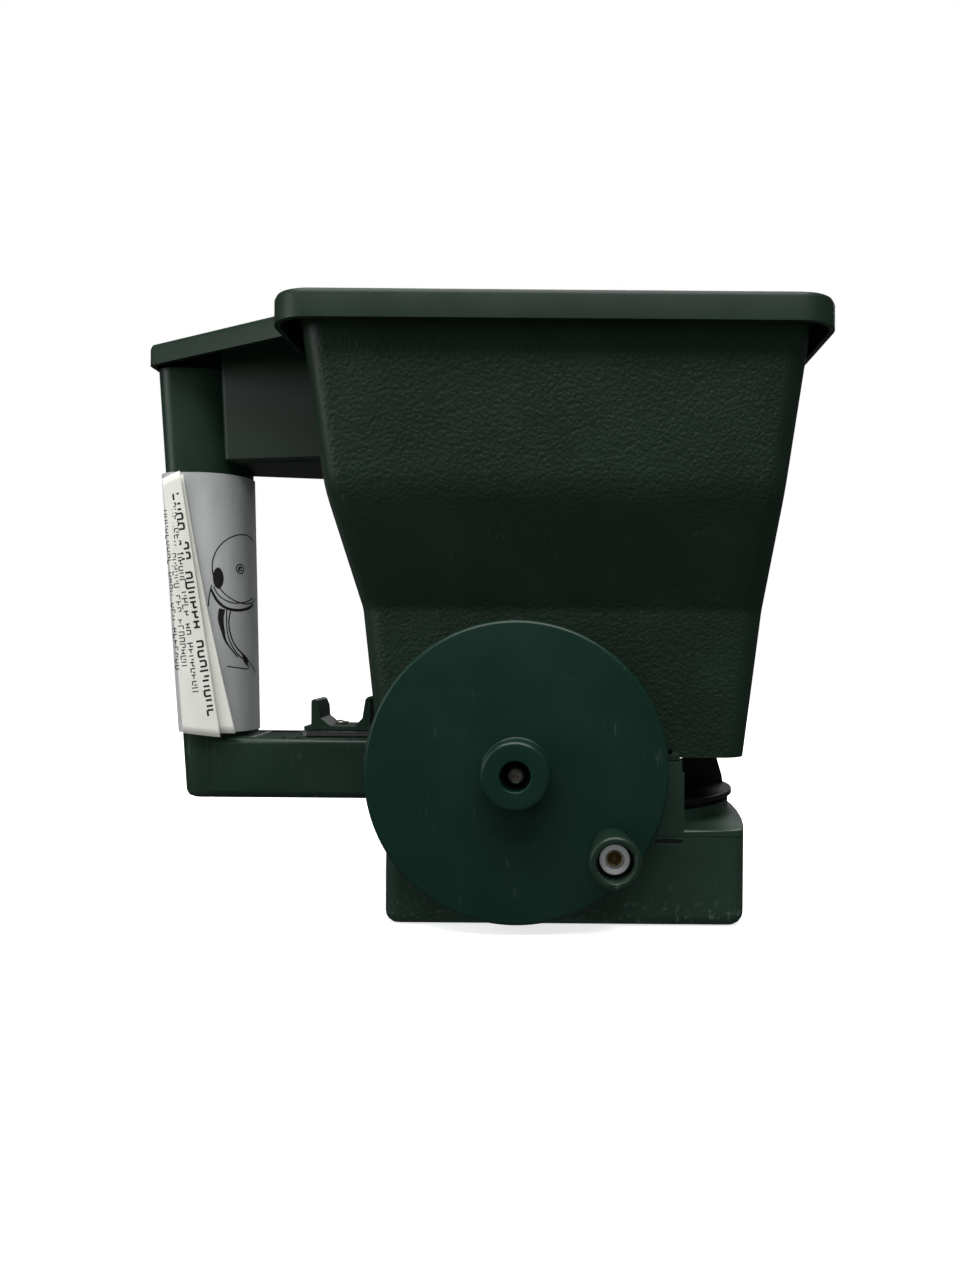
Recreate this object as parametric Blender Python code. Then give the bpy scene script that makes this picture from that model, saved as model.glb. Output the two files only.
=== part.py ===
"""Hand-held crank broadcast spreader for seed and granules, one object for each piece.

Metres, +Z up. The origin is at the middle of the base's underside, +X is the side that
the seed is thrown to, and the crank wheel is on the -Y side. Every length is a named
value, and a piece that fits another takes its size and place from the same values.
"""

from math import acos, atan2, cos, pi, radians, sin, sqrt, tan

import bmesh
import bpy
from mathutils import Matrix, Vector

# Clearances
GAP = 0.0003  # between pieces that touch
RUN = 0.0005  # round a moving piece
SEAT = 0.00005  # radial, of a shaft in its bush
SLOT_TOP = 0.0001  # keeps the gate slot's roof under the floor's own face
LEAST_CORNER = 0.001  # the radius left when a corner is inset
PAST = 0.002  # how far a cutter runs past the face that it leaves by
SUNK = 0.001  # how far a joined shape starts inside the body that it joins

# Hopper: plan half sizes are taken at four heights
RIM_HALF_X = 0.0988
RIM_HALF_Y = 0.0855
RIM_TOP = 0.2255
RIM_CORNER = 0.014
LIP_HEIGHT = 0.0106
LIP_WALL = 0.0020
LIP_ROUND = 0.0024
HOPPER_WALL = 0.0022
FLOOR_THICK = 0.0022
MOUTH_REAR, MOUTH_FRONT, MOUTH_HALF = -0.0912, 0.0922, 0.0785
SHOULDER_Z = 0.1598
SHOULDER_REAR, SHOULDER_FRONT, SHOULDER_HALF = -0.0829, 0.0838, 0.072
WAIST_Z = 0.1170
WAIST_REAR, WAIST_FRONT, WAIST_HALF = -0.0726, 0.0797, 0.0525
FOOT_Z = 0.0616
FOOT_REAR, FOOT_FRONT, FOOT_HALF = -0.0668, 0.0734, 0.050
HOPPER_CORNER = 0.009
CORNER_STEPS = 8  # facets round a vertical corner of the hopper
SHOULDER_BLEND = 0.0055  # half height of the soft bend at the shoulder
WAIST_BLEND = 0.0014
EAR_THICK = 0.0020
EAR_INSET = 0.0006

# Carrying neck and the plate over the grip, moulded on the hopper
PLATE_REAR_X = -0.1663
PLATE_REAR_HALF = 0.0195
PLATE_FRONT_X = -0.0985
PLATE_FRONT_HALF = 0.060
PLATE_LIP = 0.009
PLATE_CORNER = 0.0045
NECK_BOTTOM_Z = 0.1773
NECK_REAR_BOTTOM_X, NECK_REAR_TOP_X = -0.1368, -0.1388
NECK_REAR_HALF = 0.0165
NECK_FRONT_HALF = 0.0265
NECK_FLARE = 0.0015
NECK_CORNER = 0.0032
NECK_TROUGH_REAR = -0.1265
NECK_TROUGH_REACH = 0.004
NECK_BEVEL = 0.0018
GRIP_NEST = 0.0006

# Base tub and the deck housing on it
TUB_REAR, TUB_FRONT, TUB_HALF = -0.0618, 0.0708, 0.058
TUB_BULGE = 0.0065
TUB_CORNER = 0.006
TUB_ROUND = 0.0045
TUB_WALL = 0.0024
TUB_FLOOR = 0.0024
TUB_FILLET = 0.003
BASE_BOSS = 0.0048
BASE_BOSS_HEIGHT = 0.0022
TUB_POST = 0.0042
SINK_DEPTH = 0.0024
DECK_TOP = 0.036
DECK_THICK = 0.0026
DECK_EDGE = 0.0009
DECK_BOSS_PROUD = 0.0022
BOSS_WALL = 0.0030
REAR_POST = 0.0046
WALL_INNER = 0.0476  # half distance between the walls that the hopper stands on
WALL_THICK = 0.0029
POST_REAR, POST_FRONT = 0.0378, 0.0490
POST_STEP_Z = 0.057
POST_STEP = 0.0008
RING_OUTER, RING_INNER, RING_TOP = 0.0450, 0.0430, 0.0402
SHIELD_CLEAR = 0.0012
SHIELD_WALL = 0.0018
WEB_OUTER_Y, WEB_THICK = 0.0486, 0.004
WEB_FOOT = 0.003
END_SCREW_INSET = 0.0098
SIDE_SCREW_INSET = 0.0110
REAR_SCREW_Y = 0.036

# Handle
GRIP_BOTTOM_REAR, GRIP_BOTTOM_FRONT = -0.1519, -0.1271
GRIP_TOP_REAR, GRIP_TOP_FRONT = -0.1649, -0.1322
GRIP_HALF = 0.0185
GRIP_CORNER = 0.0070  # at the palm side
GRIP_FRONT_CORNER = 0.0158  # at the finger side
GRIP_CORE_WALL = 0.0062
ARM_BOTTOM, ARM_TOP = 0.0396, 0.0645
ARM_HALF = 0.0185
ARM_CORNER = 0.003
ARM_FLANGE_HALF = 0.024
ARM_FLANGE = 0.003
ARM_FLANGE_CORNER = 0.004
ARM_REACH = 0.012
ARM_SCREW_Y = 0.0205
GRIP_FOOT = 0.003
SPIGOT_HALF_X, SPIGOT_HALF_Y = 0.0110, 0.0100
SPIGOT_SETBACK = 0.0058
SPIGOT_WEB = 0.0015
SPIGOT_ROUND = 0.002
SPIGOT_LOW, TENON_LOW = 0.012, 0.004
CHANNEL_DEPTH = 0.0006

# Crank wheel, on the -Y side
CRANK_X, CRANK_Z = -0.01235, 0.05845
WHEEL_FACE_Y = 0.072
WHEEL_RADIUS = 0.0543
WHEEL_WEB = 0.0026
WHEEL_SKIRT = 0.0024
WHEEL_BACK_Y = 0.0592
HUB_RADIUS = 0.0122
HUB_PROUD = 0.0100
HUB_RECESS_RADIUS = 0.0054
HUB_RECESS = 0.0066
HUB_ROUND = 0.0016
HUB_WALL = 0.0016
WHEEL_ROUND = 0.0016
AXLE_RADIUS = 0.003
AXLE_BOSS = 0.007
AXLE_BOSS_FLOOR = 0.0008
AXLE_BOSS_PROUD = 0.0010
AXLE_TAP_FLOOR = 0.006
WASHER_CLEAR, WASHER_THICK = 0.0008, 0.0009

# Crank knob
KNOB_ANGLE = radians(-37.87)
KNOB_THROW = 0.04315
KNOB_LENGTH = 0.0236
KNOB_FOOT_RADIUS = 0.0074
KNOB_TIP_RADIUS = 0.0090
KNOB_FLARE = 0.0075
KNOB_MOUTH_RADIUS = 0.0064
KNOB_MOUTH = 0.0088
KNOB_BORE = 0.0040
KNOB_STUD = 0.0034
KNOB_STUD_SEAT = 0.0022
KNOB_STUD_DEPTH = 0.009
KNOB_LIP = 0.0014
BUSH_RIM = 0.0012
BUSH_RIM_THICK = 0.0016
BUSH_SINK = 0.0010
KNOB_SCREW_BITE = 0.0080

# Gears
MODULE = 0.0015
CRANK_TEETH, PINION_TEETH, BEVEL_TEETH = 62, 14, 12
PRESSURE = radians(20)
BACKLASH = 0.00030
ADDENDUM, DEDENDUM = 0.90, 1.25
GEAR_WIDTH = 0.0035
GEAR_INNER_Y = 0.0527
BEVEL_FACE = 0.0036
SHAFT_RADIUS = 0.0025
GEAR_CLEAR = 0.0010
GEAR_ROOM = 0.0014  # between the gear's inner face and the bottom of its window
POCKET_EXTRA = 0.0002
GEAR_WEB = 0.0018
GEAR_WEB_STEP = 0.0016
GEAR_HUB_RADIUS = 0.0066
GEAR_HUB_BACK = 0.0020
GEAR_RIM_WALL = 0.0028
CUP_OVERLAP = 0.0004
BEVEL_HUB = 0.0048
BEVEL_HUB_LONG, BEVEL_HUB_SHORT = 0.003, 0.0020
BEVEL_SHRINK = 0.00010
BEVEL_BORE = 0.006
SHAFT_END = 0.0002
SHAFT_TAIL = 0.0010

# Impeller, on a vertical shaft
IMPELLER_X = 0.0295
IMPELLER_RADIUS = 0.0465
IMPELLER_Z = 0.0422
IMPELLER_THICK = 0.0020
FIN_COUNT = 5
FIN_THICK = 0.0018
FIN_TOP = 0.0596
FIN_PHASE = radians(8)
FIN_INSET = 0.0016
FIN_LIP, FIN_LIP_HEIGHT = 0.0004, 0.0040
FIN_CREST_OUT, FIN_CREST_IN = 0.0042, 0.0135  # in from the fin's own rim
FIN_STEP, FIN_STEP_DROP, FIN_ROOT_DROP = 0.0175, 0.0045, 0.0075
IMPELLER_HUB = 0.0070
HUB_DROP = 0.0060
DRIVE_SHAFT_RADIUS = 0.003
BUSH_WALL = 0.0016
BUSH_CLEAR = 0.0012
DECK_BUSH_FLANGE, HOPPER_BUSH_FLANGE = 0.0016, 0.0018
BUSH_FLANGE_TOP = 0.0013
COLLAR_RADIUS, COLLAR_HEIGHT = 0.0058, 0.0035
AGITATOR_RADIUS, AGITATOR_RISE = 0.0056, 0.0024
SHAFT_ABOVE_FLOOR = 0.0120
AGITATOR_REACH, AGITATOR_TAPER = 0.0235, 0.0015
AGITATOR_TIP, AGITATOR_ROOT = 0.0030, 0.0052
AGITATOR_HALF = 0.0014

# Gate and its slider
GATE_HALF = 0.014
GATE_Z = 0.0650
GATE_THICK = 0.0018
GATE_TRAVEL = 0.018
OUTLET_REAR, OUTLET_FRONT, OUTLET_HALF = 0.0045, 0.0220, 0.0095
GATE_LAP = 0.0022
OUTLET_CORNER = 0.003
GUIDE_THICK = 0.0018
GUIDE_FLANGE = 0.0080
GUIDE_BACK = 0.0015
GUIDE_SCREW_BACK, GUIDE_SCREW_SIDE = 0.022, 0.0046
SLIDER_HALF = 0.009
SLIDER_REAR, SLIDER_FRONT = -0.1046, -0.0765
SLIDER_FLOOR = 0.0018
SLIDER_FOOT = 0.0050
GATE_TAIL = 0.0006
GATE_CORNER, GATE_NOSE_CORNER = 0.003, 0.001
TAB_ROUND = 0.0012
TAB_FOOT, FRONT_RAMP, REAR_RAMP, REAR_FOOT = 0.0036, 0.0068, 0.0110, 0.0070
REAR_TAB_OUT, REAR_TAB_IN, REAR_TAB_NOTCH = 0.0030, 0.0066, 0.0034
TAB_TOP_Z = 0.0800

# Screws
SCREW_RADIUS = 0.0015
SCREW_HEAD_RADIUS = 0.0029
SCREW_HEAD = 0.0020
PILOT_CLEAR = 0.0003
HOPPER_SCREW_REAR, HOPPER_SCREW_EAR = 0.0110, 0.0090
BASE_SCREW = 0.0150
BASE_PILOT_SPARE = 0.0031
CRANK_SCREW, CRANK_SCREW_HEAD = 0.0150, 0.0030
HANDLE_SCREW = 0.0125
SLIDER_SCREW_HEAD, GUIDE_SCREW_HEAD = 0.0015, 0.0016

# Instruction leaflet
LEAFLET_LOW, LEAFLET_HIGH = 0.0665, 0.1765
LEAFLET_THICK = 0.0008
LEAFLET_AIR = 0.0008
LEAFLET_BACK = 0.0020
FLAP_LOW_WIDTH, FLAP_HIGH_WIDTH = 0.021, 0.0110
FLAP_LOW_STAND, FLAP_HIGH_STAND = 0.0024, 0.0016

# Derived places
FLOOR_BOTTOM = GATE_Z + GATE_THICK + GAP
FLOOR_TOP = FLOOR_BOTTOM + FLOOR_THICK
WALL_TOP = FOOT_Z - GAP
TUB_TOP = DECK_TOP - DECK_THICK - GAP
DECK_BOTTOM = DECK_TOP - DECK_THICK
CRANK_PITCH = CRANK_TEETH * MODULE / 2
PINION_PITCH = PINION_TEETH * MODULE / 2
BEVEL_PITCH = BEVEL_TEETH * MODULE / 2
CENTRES = CRANK_PITCH + PINION_PITCH
SHAFT_X = IMPELLER_X
SHAFT_Z = CRANK_Z - sqrt(CENTRES**2 - (IMPELLER_X - CRANK_X) ** 2)
GEAR_OUTER_Y = GEAR_INNER_Y + GEAR_WIDTH
GEAR_WEB_Y = GEAR_OUTER_Y + GEAR_WEB_STEP
GEAR_HUB_END = WHEEL_FACE_Y - GEAR_HUB_BACK
AXLE_BOSS_Y = FOOT_HALF + GAP + SEAT
HUB_BORE = SCREW_RADIUS + 2 * PILOT_CLEAR
BEVEL_TOP = SHAFT_Z + BEVEL_PITCH + BEVEL_HUB_SHORT
HUB_TOP = FIN_TOP - HUB_DROP
PILOT = SCREW_RADIUS + PILOT_CLEAR
KNOB_X = CRANK_X + KNOB_THROW * cos(KNOB_ANGLE)
KNOB_Z = CRANK_Z + KNOB_THROW * sin(KNOB_ANGLE)
BUSH_RADIUS = SHAFT_RADIUS + SEAT + BUSH_WALL
DECK_BUSH_RADIUS = DRIVE_SHAFT_RADIUS + SEAT + BUSH_WALL

GREEN = "14251c"
WHEEL_GREEN = "17302a"
BLACK = "0d0f0e"
STEEL = "b9bcbe"
BRASS = "a58a4c"
NYLON = "e9ebea"
ACETAL = "d9d6c8"
PAPER = "d9d9d6"


def clear_scene():
    for obj in list(bpy.data.objects):
        bpy.data.objects.remove(obj, do_unlink=True)


def plastic(name, colour, roughness=0.5, metallic=0.0):
    """A Principled material, shared by every piece that names it."""
    found = bpy.data.materials.get(name)
    if found:
        return found
    made = bpy.data.materials.new(name)
    made.use_nodes = True
    shader = made.node_tree.nodes["Principled BSDF"]
    channels = [int(colour[i : i + 2], 16) / 255 for i in (0, 2, 4)]
    linear = [c / 12.92 if c <= 0.04045 else ((c + 0.055) / 1.055) ** 2.4 for c in channels]
    shader.inputs["Base Color"].default_value = (*linear, 1)
    shader.inputs["Roughness"].default_value = roughness
    shader.inputs["Metallic"].default_value = metallic
    return made


# ---------------------------------------------------------------- outlines


def rounded(corners, segments=4):
    """The outline through corners (x, y, radius), each rounded by an arc of its radius."""
    points = []
    count = len(corners)
    for i, (x, y, radius) in enumerate(corners):
        here = Vector((x, y))
        to_last = (Vector(corners[i - 1][:2]) - here).normalized()
        to_next = (Vector(corners[(i + 1) % count][:2]) - here).normalized()
        if radius <= 0:
            points.append(here)
            continue
        half = acos(max(-1, min(1, to_last.dot(to_next)))) / 2
        centre = here + (to_last + to_next).normalized() * (radius / sin(half))
        start = here + to_last * (radius / tan(half)) - centre
        end = here + to_next * (radius / tan(half)) - centre
        a, b = atan2(start.y, start.x), atan2(end.y, end.x)
        sweep = (b - a + pi) % (2 * pi) - pi
        for step in range(segments + 1):
            t = a + sweep * step / segments
            points.append(centre + radius * Vector((cos(t), sin(t))))
    return [(p.x, p.y) for p in points]


def rectangle(x0, x1, half_y, radius, segments=4):
    return rounded(
        [(x0, -half_y, radius), (x1, -half_y, radius), (x1, half_y, radius), (x0, half_y, radius)],
        segments,
    )


def tub_outline(inset=0.0, steps=8):
    """The base's plan: a rectangle whose front bulges in one shallow arc."""
    half, front = TUB_HALF - inset, TUB_FRONT - inset
    corner = TUB_CORNER - min(inset, TUB_CORNER - LEAST_CORNER)
    radius = (TUB_HALF**2 + TUB_BULGE**2) / (2 * TUB_BULGE)
    bulge = []
    for step in range(1, steps):
        y = -half + 2 * half * step / steps
        rise = sqrt(radius**2 - y**2) - sqrt(radius**2 - half**2)
        bulge.append((front + rise, y, 0))
    rear = TUB_REAR + inset
    return rounded(
        [(rear, -half, corner), (front, -half, corner), *bulge, (front, half, corner), (rear, half, corner)]
    )


def involute(angle):
    return tan(angle) - angle


def gear_outline(teeth, module, phase, flank_steps=2, shrink=0.0):
    """Spur teeth on 20 degree involutes, with a tooth centred at the angle phase."""
    pitch = teeth * module / 2
    base = pitch * cos(PRESSURE)
    root = pitch - DEDENDUM * module
    tip = pitch + ADDENDUM * module
    half_pitch = pi / (2 * teeth) - (BACKLASH + shrink) / (2 * pitch) + involute(PRESSURE)
    start = max(base, root)
    radii = [start + (tip - start) * k / flank_steps for k in range(flank_steps + 1)]
    flank = [(r, half_pitch - involute(acos(min(1, base / r)))) for r in radii]
    if root < base:
        flank.insert(0, (root, flank[0][1]))
    points = []
    for tooth in range(teeth):
        middle = phase + 2 * pi * tooth / teeth
        rising = [(r, middle - a) for r, a in flank]
        falling = [(r, middle + a) for r, a in reversed(flank)]
        points += [(r * cos(t), r * sin(t)) for r, t in rising + falling]
    return points


# ---------------------------------------------------------------- solids


def loft(rings, caps=True):
    """A closed solid through rings of 3-D points, each ring with as many points."""
    bm = bmesh.new()
    rows = [[bm.verts.new(p) for p in ring] for ring in rings]
    count = len(rows[0])
    pairs = list(zip(rows, rows[1:]))
    if not caps:
        pairs.append((rows[-1], rows[0]))
    for low, high in pairs:
        for i in range(count):
            j = (i + 1) % count
            bm.faces.new((low[i], low[j], high[j], high[i]))
    if caps:
        bm.faces.new(list(reversed(rows[0])))
        bm.faces.new(rows[-1])
    bmesh.ops.recalc_face_normals(bm, faces=bm.faces)
    return bm


def at_height(outline, z):
    return [(x, y, z) for x, y in outline]


def prism(outline, z0, z1):
    return loft([at_height(outline, z0), at_height(outline, z1)])


def box(x0, x1, y0, y1, z0, z1):
    return prism([(x0, y0), (x1, y0), (x1, y1), (x0, y1)], z0, z1)


def turned(profile, segments=32):
    """A solid of revolution round Z from (radius, z) points; it closes on the axis or on itself."""
    on_axis = [p for p in profile if p[0] <= 0]
    ringed = [p for p in profile if p[0] > 0]
    turns = [2 * pi * k / segments for k in range(segments)]
    rings = [[(r * cos(t), r * sin(t), z) for t in turns] for r, z in ringed]
    return loft(rings, caps=bool(on_axis))


def rod(radius, z0, z1, segments=24):
    return turned([(0, z0), (radius, z0), (radius, z1), (0, z1)], segments)


def ring(inner, outer, z0, z1, segments=32):
    return turned([(inner, z0), (outer, z0), (outer, z1), (inner, z1)], segments)


def combined(*shapes):
    """Several bodies in one mesh, for a cutter or for one Boolean union."""
    target = shapes[0]
    for shape in shapes[1:]:
        scratch = bpy.data.meshes.new("scratch")
        shape.to_mesh(scratch)
        shape.free()
        target.from_mesh(scratch)
        bpy.data.meshes.remove(scratch)
    return target


def moved(bm, x=0.0, y=0.0, z=0.0):
    bmesh.ops.translate(bm, vec=(x, y, z), verts=bm.verts)
    return bm


def turned_to_minus_y(bm):
    """Lays a shape made along +Z down so that its +Z points to -Y and its +Y to +Z."""
    bm.transform(Matrix.Rotation(radians(90), 4, "X"))
    return bm


def across_y(outline_xz, y0, y1):
    """A prism of an outline drawn in (x, z), from y0 to y1."""
    return turned_to_minus_y(prism(outline_xz, -y1, -y0))


# ---------------------------------------------------------------- objects


def piece(name, bm, material, origin=(0.0, 0.0, 0.0), sharp=35):
    """An object whose mesh is given in the part's frame and whose origin is moved to origin."""
    moved(bm, *(-c for c in origin))
    mesh = bpy.data.meshes.new(name)
    bm.to_mesh(mesh)
    bm.free()
    mesh.shade_smooth()
    mesh.set_sharp_from_angle(angle=radians(sharp))
    mesh.materials.append(material)
    obj = bpy.data.objects.new(name, mesh)
    obj.location = origin
    bpy.context.scene.collection.objects.link(obj)
    return obj


def joined(obj, name, bm, operation):
    """Puts a Boolean on obj with a hidden operand made of bm, given in the part's frame."""
    mesh = bpy.data.meshes.new(name)
    bm.to_mesh(mesh)
    bm.free()
    tool = bpy.data.objects.new(name, mesh)
    tool.hide_render = True
    tool.display_type = "WIRE"
    bpy.context.scene.collection.objects.link(tool)
    modifier = obj.modifiers.new(name, "BOOLEAN")
    modifier.operation = operation
    modifier.object = tool
    modifier.solver = "EXACT"
    return obj


def cut(obj, name, bm):
    return joined(obj, name, bm, "DIFFERENCE")


def add(obj, name, bm):
    return joined(obj, name, bm, "UNION")


# ---------------------------------------------------------------- hopper


def straight_level(z):
    """(rear x, front x, half y) of the hopper's outside at height z, with sharp bends."""
    levels = [
        (FOOT_Z, FOOT_REAR, FOOT_FRONT, FOOT_HALF),
        (WAIST_Z, WAIST_REAR, WAIST_FRONT, WAIST_HALF),
        (SHOULDER_Z, SHOULDER_REAR, SHOULDER_FRONT, SHOULDER_HALF),
        (RIM_TOP, MOUTH_REAR, MOUTH_FRONT, MOUTH_HALF),
    ]
    for low, high in zip(levels, levels[1:]):
        if z <= high[0]:
            break
    t = (z - low[0]) / (high[0] - low[0])
    return tuple(a + (b - a) * t for a, b in zip(low[1:], high[1:]))


def hopper_level(z):
    """The hopper's outside at height z, with each bend rounded over its blend height."""
    for bend, blend in ((WAIST_Z, WAIST_BLEND), (SHOULDER_Z, SHOULDER_BLEND)):
        if abs(z - bend) < blend:
            t = (z - bend + blend) / (2 * blend)
            ends = zip(straight_level(bend - blend), straight_level(bend), straight_level(bend + blend))
            return tuple((1 - t) ** 2 * a + 2 * t * (1 - t) * b + t**2 * c for a, b, c in ends)
    return straight_level(z)


def hopper_ring(z, inset=0.0, corner=HOPPER_CORNER):
    rear, front, half = hopper_level(z)
    return at_height(rectangle(rear + inset, front - inset, half - inset, corner - inset, CORNER_STEPS), z)


def rim_ring(z, inset=0.0):
    half_x, half_y, corner = RIM_HALF_X - inset, RIM_HALF_Y - inset, RIM_CORNER - inset
    return at_height(rectangle(-half_x, half_x, half_y, corner, CORNER_STEPS), z)


def hopper_shell():
    """One closed surface: the skirt, up the outside, over the rolled rim and down the inside."""
    under_rim = RIM_TOP - HOPPER_WALL
    lip_bottom = RIM_TOP - LIP_HEIGHT
    bends = [WAIST_Z - WAIST_BLEND, WAIST_Z, WAIST_Z + WAIST_BLEND]
    bends += [SHOULDER_Z + SHOULDER_BLEND * k for k in (-1, -0.33, 0.33, 1)]
    rings = [
        hopper_ring(FLOOR_BOTTOM, HOPPER_WALL),
        hopper_ring(FOOT_Z, HOPPER_WALL),
        hopper_ring(FOOT_Z),
        *(hopper_ring(z) for z in bends),
        hopper_ring(under_rim),
        rim_ring(under_rim, LIP_WALL),
        rim_ring(lip_bottom, LIP_WALL),
        rim_ring(lip_bottom),
        rim_ring(RIM_TOP - LIP_ROUND),
        rim_ring(RIM_TOP - LIP_ROUND * 0.3, LIP_ROUND * 0.3),
        rim_ring(RIM_TOP, LIP_ROUND),
        hopper_ring(RIM_TOP, HOPPER_WALL),
        *(hopper_ring(z, HOPPER_WALL) for z in reversed(bends)),
        hopper_ring(FLOOR_TOP, HOPPER_WALL),
    ]
    return loft(rings)


def plate_outline(inset=0.0, reach=0.0):
    """The plan of the plate over the grip, from its narrow rear end to the rim."""
    flare = (PLATE_FRONT_HALF - PLATE_REAR_HALF) / (PLATE_FRONT_X - PLATE_REAR_X)
    front = -RIM_HALF_X + reach
    rear_half, front_half = PLATE_REAR_HALF, PLATE_REAR_HALF + flare * (front - PLATE_REAR_X)
    corner = PLATE_CORNER - min(inset, PLATE_CORNER - LEAST_CORNER)
    rear = PLATE_REAR_X + inset
    slope = inset * sqrt(1 + flare**2)
    lead = flare * inset
    return rounded(
        [
            (rear, -(rear_half + lead - slope), corner),
            (front, -(front_half - slope), 0),
            (front, front_half - slope, 0),
            (rear, rear_half + lead - slope, corner),
        ]
    )


def neck_outline(z, inset=0.0, reach=0.0, rear=None):
    """The plan of the neck at height z, tapering towards the grip."""
    t = (z - NECK_BOTTOM_Z) / (RIM_TOP - NECK_BOTTOM_Z)
    if rear is None:
        rear = NECK_REAR_BOTTOM_X + (NECK_REAR_TOP_X - NECK_REAR_BOTTOM_X) * t + inset
    front = hopper_level(max(z, NECK_BOTTOM_Z))[0] + HOPPER_WALL / 2 + reach
    rear_half = NECK_REAR_HALF + NECK_FLARE * t - inset
    front_half = NECK_FRONT_HALF + NECK_FLARE * t - inset
    corner = NECK_CORNER - min(inset, NECK_CORNER - LEAST_CORNER)
    return rounded(
        [
            (rear, -rear_half, corner),
            (front, -front_half, 0),
            (front, front_half, 0),
            (rear, rear_half, corner),
        ]
    )


def screw_places_hopper():
    """(x, y, z of the head's seat) of the screws that hold the hopper to the housing."""
    rear_x = TUB_REAR + END_SCREW_INSET
    ear_x, ear_y = POST_REAR + TUB_POST, (WALL_INNER + TUB_HALF) / 2 + 2 * EAR_INSET
    ear_top = FOOT_Z + EAR_THICK
    return [
        (rear_x, -REAR_SCREW_Y, FLOOR_TOP),
        (rear_x, REAR_SCREW_Y, FLOOR_TOP),
        (ear_x, -ear_y, ear_top),
        (ear_x, ear_y, ear_top),
    ]


def make_hopper(green):
    hopper = piece("hopper", hopper_shell(), green)
    neck = loft(
        [
            at_height(neck_outline(NECK_BOTTOM_Z, NECK_BEVEL), NECK_BOTTOM_Z),
            at_height(neck_outline(NECK_BOTTOM_Z + NECK_BEVEL), NECK_BOTTOM_Z + NECK_BEVEL),
            at_height(neck_outline(RIM_TOP - HOPPER_WALL), RIM_TOP - HOPPER_WALL / 2),
        ]
    )
    add(hopper, "neck_wall", neck)
    plate_top, plate_low = RIM_TOP, RIM_TOP - PLATE_LIP
    plate = loft(
        [
            at_height(plate_outline(LIP_WALL, LIP_WALL / 2), plate_top - HOPPER_WALL),
            at_height(plate_outline(LIP_WALL, LIP_WALL / 2), plate_low),
            at_height(plate_outline(0, LIP_WALL / 2), plate_low),
            at_height(plate_outline(0, LIP_WALL / 2), plate_top - LIP_ROUND),
            at_height(plate_outline(LIP_ROUND * 0.3, LIP_WALL / 2), plate_top - LIP_ROUND * 0.3),
            at_height(plate_outline(LIP_ROUND, LIP_WALL / 2), plate_top),
        ]
    )
    add(hopper, "grip_plate", plate)
    seam = box(
        -RIM_HALF_X - LIP_ROUND, MOUTH_REAR + HOPPER_WALL, -NECK_FRONT_HALF, NECK_FRONT_HALF,
        RIM_TOP - HOPPER_WALL, RIM_TOP,
    )
    add(hopper, "plate_bridge", seam)
    floor_z = NECK_BOTTOM_Z + HOPPER_WALL
    inside = (HOPPER_WALL, NECK_TROUGH_REACH, NECK_TROUGH_REAR)
    trough = loft(
        [
            at_height(neck_outline(floor_z, *inside), floor_z),
            at_height(neck_outline(RIM_TOP, *inside), RIM_TOP + PAST),
        ]
    )
    cut(hopper, "neck_trough", trough)
    nest_low, nest_high = NECK_BOTTOM_Z - PAST, RIM_TOP - HOPPER_WALL
    nest = loft([grip_ring(nest_low, -GRIP_NEST), grip_ring(nest_high, -GRIP_NEST)])
    cut(hopper, "grip_nest", nest)
    ears = []
    for side in (-1, 1):
        y0, y1 = sorted((side * (FOOT_HALF - HOPPER_WALL / 2), side * (TUB_HALF - EAR_INSET)))
        ears.append(box(POST_REAR + GAP, POST_FRONT - 2 * POST_STEP, y0, y1, FOOT_Z, FOOT_Z + EAR_THICK))
    add(hopper, "screw_ears", combined(*ears))
    outlet = rectangle(OUTLET_REAR, OUTLET_FRONT, OUTLET_HALF, OUTLET_CORNER)
    outlet = prism(outlet, FLOOR_BOTTOM - PAST, FLOOR_TOP + PAST)
    shaft_hole = moved(rod(DECK_BUSH_RADIUS + GAP, FLOOR_BOTTOM - PAST, FLOOR_TOP + PAST), IMPELLER_X)
    cut(hopper, "floor_openings", combined(outlet, shaft_hole))
    slot = box(
        FOOT_REAR - 2 * PAST, FOOT_REAR + HOPPER_WALL + 2 * PAST, -GATE_HALF - RUN, GATE_HALF + RUN,
        GATE_Z - RUN, FLOOR_BOTTOM - SLOT_TOP,
    )
    cut(hopper, "gate_slot", slot)
    pilots = [
        moved(rod(PILOT, -HOPPER_SCREW_REAR - PAST, PAST, 12), x, y, z)
        for x, y, z in screw_places_hopper()
    ]
    guide = [
        moved(rod(PILOT, FLOOR_BOTTOM - PAST, FLOOR_TOP + PAST, 12), x, y)
        for x, y in guide_screw_places()
    ]
    cap = rod(PILOT, RIM_TOP - PLATE_LIP, RIM_TOP + PAST, 12)
    cut(hopper, "hopper_pilots", combined(*pilots, *guide, moved(cap, grip_top_centre())))
    return hopper


def make_hopper_bush(bronze):
    """Lines the hole where the impeller shaft comes up through the hopper floor."""
    inner = DRIVE_SHAFT_RADIUS + SEAT
    flange = DECK_BUSH_RADIUS + HOPPER_BUSH_FLANGE
    profile = [
        (inner, FLOOR_BOTTOM),
        (DECK_BUSH_RADIUS, FLOOR_BOTTOM),
        (DECK_BUSH_RADIUS, FLOOR_TOP + GAP),
        (flange, FLOOR_TOP + GAP),
        (flange, FLOOR_TOP + BUSH_FLANGE_TOP),
        (inner, FLOOR_TOP + BUSH_FLANGE_TOP),
    ]
    piece("hopper_bush", moved(turned(profile, 24), IMPELLER_X), bronze, (IMPELLER_X, 0, FLOOR_TOP))


# ---------------------------------------------------------------- base


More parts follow.
